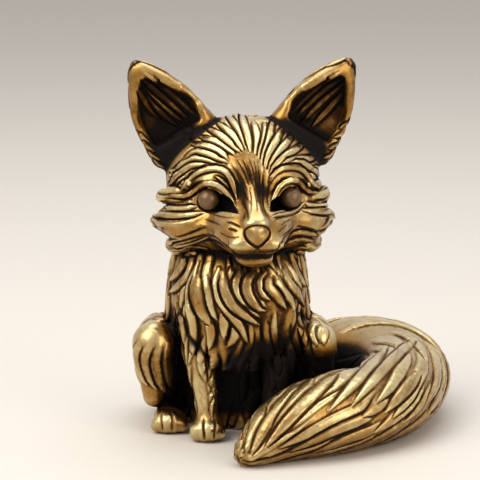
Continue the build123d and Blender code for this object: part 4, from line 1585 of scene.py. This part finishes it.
def smooth_mesh(name, points, triangles, quads):
    """A Blender mesh of triangles and quads, shaded smooth."""
    mesh = bpy.data.meshes.new(name)
    mesh.vertices.add(len(points))
    mesh.vertices.foreach_set("co", (points * METRE).astype(np.float32).ravel())
    corners = np.concatenate([triangles.ravel(), quads.ravel()]).astype(np.int32)
    starts = np.concatenate([np.arange(len(triangles)) * 3, triangles.size + np.arange(len(quads)) * 4])
    mesh.loops.add(len(corners))
    mesh.loops.foreach_set("vertex_index", corners)
    mesh.polygons.add(len(starts))
    mesh.polygons.foreach_set("loop_start", starts.astype(np.int32))
    mesh.polygons.foreach_set("use_smooth", np.ones(len(starts), bool))
    mesh.update(calc_edges=True)
    mesh.validate()
    return mesh


print("smallest piece that is kept:", SMALLEST_ISLAND, "corners")

# %% [markdown]
# ## What the darkening needs to know
#
# Each corner of the meshes gets three readings. `groove` is how proud the surface stands, in millimetres:
# less than zero in grooves, more on ridges, and a little more where it looks up, which paints upward faces
# paler as a painted reflection of the bright sky. `depth` is how far it lies below the polishing ball.
# `line` is one where a thin line was cut, and along the roots, where a piece meets its neighbour and the
# patina stays.
#
# In a few places the metal is darkened more than the ball alone darkens it: round the feet of the ears and
# in the ears, beside the bridge of the nose, on the nose, under the lips and at the belly. There the depth
# is raised at listed spots. In the ears, before their feet, on the nose and at the belly this is painted
# shade;
# under the lips it is partly patina and partly painted shade; beside the bridge it only makes the metal
# darker.

# %% Readings on the corners
INK_START, INK_SPAN = 0.6, 1.1  # cells
# Upward faces read as prouder and come out paler: a painted reflection of the bright sky on the tops.
SKY_SHEEN_ON_TOPS = 0.06  # mm
# Wide swellings read as prouder and wide hollows as less proud: partly the polish of the bumps and the
# patina of the hollows, partly painted highlight on the bumps and painted shade in the hollows.
SWELL_SHARE = 0.14
EAR_DULL = 0.06  # mm
ROOT_LINE = 0.25  # mm
EAR_ROOT_LINE = 0.6  # mm
ROOT_START = 1.2
ROOT_APART = 0.25  # mm, how near a neighbour has to be for a root line
ROOT_STEEPNESS = 3
# A pixel, the reach of its darkening in mm, and by how much the depth is raised, in mm
HEAD_DARK_SPOTS = [
    # beside the bridge of the nose the metal is darker; low on the nose it is painted shade
    ((240, 162), 1.4, 0.6), ((243, 180), 2.0, 0.8), ((250, 198), 1.6, 0.8), ((257.5, 238.5), 0.85, 2.6),
    # in the ears: painted shade in the cups
    ((148, 116), 2.2, 0.3), ((160, 136), 2.6, 1.0), ((330, 128), 2.2, 0.6), ((314, 146), 2.4, 1.0),
    # before the feet of the ears: painted shade in the crease between ear and forehead
    ((160, 146), 1.3, 2.0), ((172, 141), 1.3, 2.0), ((184, 136), 1.2, 2.0), ((194, 132), 1.0, 1.6),
    ((290, 130), 1.2, 2.0), ((303, 137), 1.3, 2.0), ((316, 145), 1.3, 2.0),
]
# Along the mouth the depth is raised: partly patina in the mouth and partly painted shade under the upper
# lip.
MOUTH_PIXELS = [(236, 254), (239, 255.2), (242, 255.9), (245, 256.2), (248, 256.2), (251, 255.8),
                (254, 255.2), (257, 255), (260, 255.2), (263, 255.8), (266, 256), (269, 255.6),
                (272, 254.4)]
MOUTH_DARKENING = (0.34, 5.0)
# Painted shade at the belly between the forelegs, where the chest and the brush shade it.
BELLY_PAINTED_SHADE = [((240, 362), 2.2, 1.4), ((264, 352), 2.2, 1.2), ((222, 366), 1.2, 1.0)]
mouth_dark_spots = [(pixel, *MOUTH_DARKENING) for pixel in MOUTH_PIXELS]
dark_spots = {
    clay: [(clay.seen([pixel])[0], reach, more) for pixel, reach, more in places]
    for clay, places in ((head_clay, HEAD_DARK_SPOTS + mouth_dark_spots), (body_clay, BELLY_PAINTED_SHADE))
}


def read_corners(clay, name, points, first, seam, others):
    """The three readings at the corners of a piece."""
    is_ear = name in EARS
    # The wide swelling adds painted highlight on broad bumps and painted shade in broad hollows, besides
    # their polish and patina.
    proud = clay.at(points, clay.grooves) + SWELL_SHARE * clay.at(points, clay.swells, SWELL_STRIDE)
    # Painted sky reflection: the more a face looks up, the paler it is coloured.
    proud = proud + SKY_SHEEN_ON_TOPS * clay.outward(points)[:, 2] - (EAR_DULL if is_ear else 0)
    depth = out_of_reach(points)
    # Listed spots raise the depth: painted shade in and before the ears, on the nose and at the belly,
    # partly patina along the mouth, and darker metal beside the bridge.
    for place, reach, more in dark_spots[clay]:
        depth += more * np.exp(-((points - place) ** 2).sum(1) / reach**2)
    ink = np.clip((INK_START * clay.cell - clay.at(points, clay.lines)) / (INK_SPAN * clay.cell), 0, 1)
    apart = np.maximum(-seam, ROOT_STEEPNESS * (others - ROOT_APART))
    apart = between_cells(apart, points / clay.cell - first)
    root = ROOT_START - apart / (EAR_ROOT_LINE if is_ear else ROOT_LINE)
    return {"groove": proud, "depth": depth, "line": np.clip(np.maximum(ink, root), 0, 1)}


print("stains on the head and the body:", [len(places) for places in dark_spots.values()])

# %% [markdown]
# A piece is cast by putting the two together: its mesh, with the three readings stored in it. It rides on
# the one body and stands in for its solid.

# %% Cast the pieces


def cast_piece(clay, name):
    (points, triangles, quads), first, seam, others = part_clay(clay, name)
    mesh = smooth_mesh(name + "_cast", points, triangles, quads)
    readings = read_corners(clay, name, points, first, seam, others)
    for reading, values in readings.items():
        attribute = mesh.attributes.new(reading, "FLOAT", "POINT")
        attribute.data.foreach_set("value", values.astype(np.float32))
    piece = add_object(name + "_cast", mesh)
    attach(piece, "root")
    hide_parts(name)
    middles = {reading: round(float(np.median(values)), 2) for reading, values in readings.items()}
    print(name, "triangles:", len(triangles) + 2 * len(quads), "median readings:", middles)
    return piece


pieces = [cast_piece(clay, name) for clay in (head_clay, body_clay) for name in clay.solids]

# %% [markdown]
# ## Eye beads
#
# The eyes are loose beads of a browner bronze, set behind the lids. A bead is never a perfect ball: it is
# pressed a little flat in front and slightly dented all over, which breaks up its highlight.

# %% Beads
BEAD_DENT = 0.02  # mm
BEAD_DENTS = 1.7  # per mm
BEAD_FLAT_SHARE = 0.94
BEAD_SUBDIVISIONS = 5
beads = []
for name, middle in bead_middles.items():
    mesh = bpy.data.meshes.new(name + "_bead")
    ball = bmesh.new()
    bmesh.ops.create_icosphere(ball, subdivisions=BEAD_SUBDIVISIONS, radius=BEAD_RADIUS)
    for vertex in ball.verts:
        dent = noise.noise(vertex.co * BEAD_DENTS + Vector(middle)) * BEAD_DENT
        vertex.co *= 1 + dent / BEAD_RADIUS
        vertex.co.y *= BEAD_FLAT_SHARE
        vertex.co = (vertex.co + Vector(middle)) * METRE
    for face in ball.faces:
        face.smooth = True
    ball.to_mesh(mesh)
    ball.free()
    bead = add_object(name + "_bead", mesh)
    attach(bead, "root")
    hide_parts(name)
    beads.append(bead)
print("beads:", [bead.name for bead in beads])

# %% [markdown]
# ## Antiqued brass
#
# The casting was dipped in a darkening bath and rubbed. What is left is three things at once: black-brown
# patina in the grooves, warm brass on the slopes, and pale brass on the ridges. The pale ridges are partly
# polish and partly a painted highlight, a painted reflection of the bright sky that is kept to open tops.
# One group of nodes works out how bare the metal is from the three readings, with some noise so that no
# edge is even.
# Its inputs are the readings, the size of the grain, two roughnesses and four colours.

# %% Sockets of the group


def shade_colour(red, green, blue):
    """A display colour, 0 to 255, as the linear colour that a shader takes."""
    values = [channel / 255 for channel in (red, green, blue)]
    return tuple(v / 12.92 if v <= 0.04045 else ((v + 0.055) / 1.055) ** 2.4 for v in values) + (1.0,)


def group_with_sockets():
    """The empty group with its named inputs and outputs."""
    group = bpy.data.node_groups.new("rubbed metal with painted shade and sheen", "ShaderNodeTree")
    for name, value in (
        ("Groove", 0.0),
        ("Depth", 0.0),
        ("Line", 0.0),
        ("Groove Depth", 0.1),
        ("Noise Size", 1200.0),
        ("Bare Roughness", 0.3),
        ("Patina Roughness", 0.65),
    ):
        socket = group.interface.new_socket(name=name, in_out="INPUT", socket_type="NodeSocketFloat")
        socket.default_value = value
    for name, colour in (
        ("Patina", shade_colour(13, 8, 5)),
        ("Slope", shade_colour(96, 62, 24)),
        # Pale brass of the polished ridges, also used as a painted highlight on open tops
        ("Face", shade_colour(156, 116, 52)),
        ("Ridge", shade_colour(212, 196, 144)),
    ):
        socket = group.interface.new_socket(name=name, in_out="INPUT", socket_type="NodeSocketColor")
        socket.default_value = colour
    for name, kind in (
        ("Color", "NodeSocketColor"),
        ("Metallic", "NodeSocketFloat"),
        ("Roughness", "NodeSocketFloat"),
        ("Height", "NodeSocketFloat"),
        ("Coat", "NodeSocketFloat"),
    ):
        group.interface.new_socket(name=name, in_out="OUTPUT", socket_type=kind)
    return group


print("Patina is stored as", [round(v, 4) for v in shade_colour(13, 8, 5)])

# %% [markdown]
# Bare is where the surface is proud, within reach of the ball and off the lines. From bare to dark, the
# group mixes four colours, makes the metal duller and turns the metallic look down, because patina is no
# metal.

# %% Nodes of the group
FINE_NOISE = (1.0, 4.0, 0.6)  # share of the Noise Size, detail, roughness
BROAD_NOISE = (0.22, 3.0, 0.55)
FINE_AMOUNT, BROAD_AMOUNT = 0.9, 1.3
OPEN_AT_ZERO, OPEN_PER_DEPTH, OPEN_PER_PROUD = 1.4, -0.7, 0.25
BARE_AT_ZERO, BARE_PER_PROUD = 0.64, 0.95
SLOPE_RAMP = (2.6, -0.25)  # times bare, and added
FACE_RAMP = (2.4, -0.85)
RIDGE_RAMP = (0.9, -0.3)  # times proud, and added
# Fades the ridge colour with depth: a painted sky reflection, kept to open tops.
RIDGE_SKY_SHEEN = (-1.0, 1.3)  # times depth, and added
METALLIC_RAMP = (0.95, 0.05)
ROUGH_NOISE = 0.35
COAT = 0.45
BROAD_BUMP = 1.5


def fill_patina_and_sheen_group(group):
    """The nodes between the inputs and the outputs."""
    nodes, links = group.nodes, group.links
    given = nodes.new("NodeGroupInput").outputs
    result = nodes.new("NodeGroupOutput").inputs

    def maths(operation, *values, clamp=False):
        node = nodes.new("ShaderNodeMath")
        node.operation = operation
        node.use_clamp = clamp
        for socket, value in zip(node.inputs, values):
            if isinstance(value, bpy.types.NodeSocket):
                links.new(value, socket)
            else:
                socket.default_value = value
        return node.outputs[0]

    def grain(scale_share, detail, rough):
        place = nodes.new("ShaderNodeTexCoord")
        node = nodes.new("ShaderNodeTexNoise")
        links.new(place.outputs["Object"], node.inputs["Vector"])
        links.new(maths("MULTIPLY", given["Noise Size"], scale_share), node.inputs["Scale"])
        node.inputs["Detail"].default_value = detail
        node.inputs["Roughness"].default_value = rough
        return node.outputs["Fac"]

    def mixed(factor, first, second):
        node = nodes.new("ShaderNodeMix")
        node.data_type = "RGBA"
        links.new(factor, node.inputs["Factor"])
        links.new(first, node.inputs["A"])
        links.new(second, node.inputs["B"])
        return node.outputs["Result"]

    fine = grain(*FINE_NOISE)
    broad = grain(*BROAD_NOISE)
    proud = maths("DIVIDE", given["Groove"], given["Groove Depth"])
    proud = maths("ADD", proud, maths("MULTIPLY", maths("SUBTRACT", fine, 0.5), FINE_AMOUNT))
    proud = maths("ADD", proud, maths("MULTIPLY", maths("SUBTRACT", broad, 0.5), BROAD_AMOUNT))
    in_reach = maths("MULTIPLY_ADD", given["Depth"], OPEN_PER_DEPTH, OPEN_AT_ZERO)
    in_reach = maths("MULTIPLY_ADD", proud, OPEN_PER_PROUD, in_reach, clamp=True)
    unlined = maths("MULTIPLY_ADD", given["Line"], -1.0, 1.0, clamp=True)
    in_reach = maths("MULTIPLY", in_reach, unlined)
    bare = maths("MULTIPLY_ADD", proud, BARE_PER_PROUD, BARE_AT_ZERO, clamp=True)
    bare = maths("MULTIPLY", bare, in_reach)
    to_slope = maths("MULTIPLY_ADD", bare, *SLOPE_RAMP, clamp=True)
    to_face = maths("MULTIPLY_ADD", bare, *FACE_RAMP, clamp=True)
    to_ridge = maths("MULTIPLY_ADD", proud, *RIDGE_RAMP, clamp=True)
    # The pale ridge colour fades with depth, so only open tops get it: a painted highlight that stands for
    # the sky's reflection.
    to_ridge = maths("MULTIPLY", to_ridge, maths("MULTIPLY_ADD", given["Depth"], *RIDGE_SKY_SHEEN, clamp=True))
    to_ridge = maths("MULTIPLY", to_ridge, unlined)
    colour = mixed(to_slope, given["Patina"], given["Slope"])
    colour = mixed(to_face, colour, given["Face"])
    colour = mixed(to_ridge, colour, given["Ridge"])
    spread = maths("SUBTRACT", given["Bare Roughness"], given["Patina Roughness"])
    rough = maths("MULTIPLY_ADD", to_face, spread, given["Patina Roughness"])
    rough = maths("MULTIPLY_ADD", maths("SUBTRACT", fine, 0.5), ROUGH_NOISE, rough, clamp=True)
    links.new(colour, result["Color"])
    links.new(maths("MULTIPLY_ADD", to_slope, *METALLIC_RAMP, clamp=True), result["Metallic"])
    links.new(rough, result["Roughness"])
    links.new(maths("MULTIPLY", to_face, COAT), result["Coat"])
    links.new(maths("ADD", fine, maths("MULTIPLY", broad, BROAD_BUMP)), result["Height"])


patina_and_sheen_group = group_with_sockets()
fill_patina_and_sheen_group(patina_and_sheen_group)
print("group:", len(patina_and_sheen_group.nodes), "nodes")
print("sockets:", [item.name for item in patina_and_sheen_group.interface.items_tree])

# %% [markdown]
# A material reads the three attributes of the mesh, passes them through the group and feeds the shader.
# The eyes and the dowels have no readings: the beads get one value of `Groove` all over and their own
# browner colours.

# %% Metals
BUMP_STRENGTH = 0.5
BUMP_HEIGHT = 0.00002  # m
SPECULAR_LEVEL = 0.12
COAT_ROUGHNESS = 0.22


def make_metal(name, values, is_read=False, metallic=None):
    """A material with its own values in the group. metallic is given where it is the same all over."""
    material = bpy.data.materials.new(name)
    material.use_nodes = True
    nodes, links = material.node_tree.nodes, material.node_tree.links
    shader = nodes["Principled BSDF"].inputs
    # The group paints shade and a sky sheen into the colour, besides the patina and the polish.
    rubbed = nodes.new("ShaderNodeGroup")
    rubbed.node_tree = patina_and_sheen_group
    if is_read:
        for reading in ("groove", "depth", "line"):
            attribute = nodes.new("ShaderNodeAttribute")
            attribute.attribute_name = reading
            links.new(attribute.outputs["Fac"], rubbed.inputs[reading.title()])
    for socket, value in values.items():
        rubbed.inputs[socket].default_value = value
    if metallic is None:
        links.new(rubbed.outputs["Metallic"], shader["Metallic"])
    else:
        shader["Metallic"].default_value = metallic
    bump = nodes.new("ShaderNodeBump")
    bump.inputs["Strength"].default_value = BUMP_STRENGTH
    bump.inputs["Distance"].default_value = BUMP_HEIGHT
    links.new(rubbed.outputs["Height"], bump.inputs["Height"])
    links.new(bump.outputs["Normal"], shader["Normal"])
    links.new(rubbed.outputs["Color"], shader["Base Color"])
    links.new(rubbed.outputs["Roughness"], shader["Roughness"])
    links.new(rubbed.outputs["Coat"], shader["Coat Weight"])
    shader["Specular IOR Level"].default_value = SPECULAR_LEVEL
    shader["Coat Roughness"].default_value = COAT_ROUGHNESS
    return material


brass = make_metal("antiqued brass with painted shade and sheen", {}, is_read=True)
dowel_brass = make_metal("dowel brass", {"Groove": 0.05})
bead_values = {
    "Groove": 0.02,
    "Patina": shade_colour(40, 28, 20),
    "Slope": shade_colour(66, 46, 30),
    "Face": shade_colour(112, 86, 58),
    "Ridge": shade_colour(150, 126, 88),
    "Bare Roughness": 0.36,
}
eye_bronze = make_metal("eye bronze", bead_values, metallic=0.4)
for piece in pieces:
    piece.data.materials.append(brass)
for bead in beads:
    bead.data.materials.append(eye_bronze)
for name in ("neck_dowel", "tail_dowel"):
    for material_slot in frame["nodes"][name].material_slots:
        material_slot.material = dowel_brass
print("metals:", brass.name, eye_bronze.name, dowel_brass.name)

# %% [markdown]
# ## Floor, background and light
#
# Polished metal shows mostly what is round it, so the floor and the sky are pale and plain. The camera and
# mirrored rays see a brighter sky than the one that lights the fox, which keeps its shadows deep.

# %% Floor and background
FLOOR_SIZE = 3.0  # m
FLOOR_ROUGHNESS = 0.7
AMBIENT = 0.55
half = FLOOR_SIZE / 2
floor_mesh = bpy.data.meshes.new("floor")
corners = [(-half, -half, 0), (half, -half, 0), (half, half, 0), (-half, half, 0)]
floor_mesh.from_pydata(corners, [], [(0, 1, 2, 3)])
floor = add_object("floor", floor_mesh)
floor_material = bpy.data.materials.new("pale floor")
floor_material.use_nodes = True
floor_shader = floor_material.node_tree.nodes["Principled BSDF"].inputs
floor_shader["Base Color"].default_value = shade_colour(226, 220, 212)
floor_shader["Roughness"].default_value = FLOOR_ROUGHNESS
floor_mesh.materials.append(floor_material)

world = bpy.data.worlds.new("studio")
bpy.context.scene.world = world
world.use_nodes = True
nodes, links = world.node_tree.nodes, world.node_tree.links
backdrop = nodes["Background"]
backdrop.inputs["Color"].default_value = shade_colour(236, 230, 228)
ambient = nodes.new("ShaderNodeBackground")
ambient.inputs["Color"].default_value = shade_colour(236, 232, 230)
ambient.inputs["Strength"].default_value = AMBIENT
path = nodes.new("ShaderNodeLightPath").outputs
straight = path["Is Camera Ray"]
for ray in ("Is Glossy Ray", "Is Transmission Ray"):
    either = nodes.new("ShaderNodeMath")
    either.operation = "MAXIMUM"
    links.new(straight, either.inputs[0])
    links.new(path[ray], either.inputs[1])
    straight = either.outputs[0]
choose = nodes.new("ShaderNodeMixShader")
links.new(straight, choose.inputs["Fac"])
links.new(ambient.outputs[0], choose.inputs[1])
links.new(backdrop.outputs[0], choose.inputs[2])
links.new(choose.outputs[0], nodes["World Output"].inputs["Surface"])
print("floor and", world.name)

# %% [markdown]
# Three large soft lamps make the long highlights on the tops of the locks: a strong one at the upper
# left, a weak one at the right and one overhead.

# %% Lamps
FOX_MIDDLE = np.array([2.0, 0.0, 18.0])  # mm
LAMPS = {  # place in mm, size in mm, watts, colour
    "key": ((-170, -120, 230), 220, 0.58, (255, 250, 240)),
    "fill": ((210, -170, 120), 200, 0.26, (255, 244, 228)),
    "top": ((20, 40, 280), 260, 0.44, (246, 252, 255)),
}
for name, (place, size, watts, colour) in LAMPS.items():
    light = bpy.data.lights.new(name, "AREA")
    light.size = size * METRE
    light.energy = watts
    light.color = shade_colour(*colour)[:3]
    lamp = add_object(name, light)
    lamp.location = Vector(np.array(place) * METRE)
    lamp.rotation_euler = Vector(FOX_MIDDLE - np.array(place)).to_track_quat("-Z", "Y").to_euler()
bpy.context.scene.view_settings.view_transform = "Standard"

# %% [markdown]
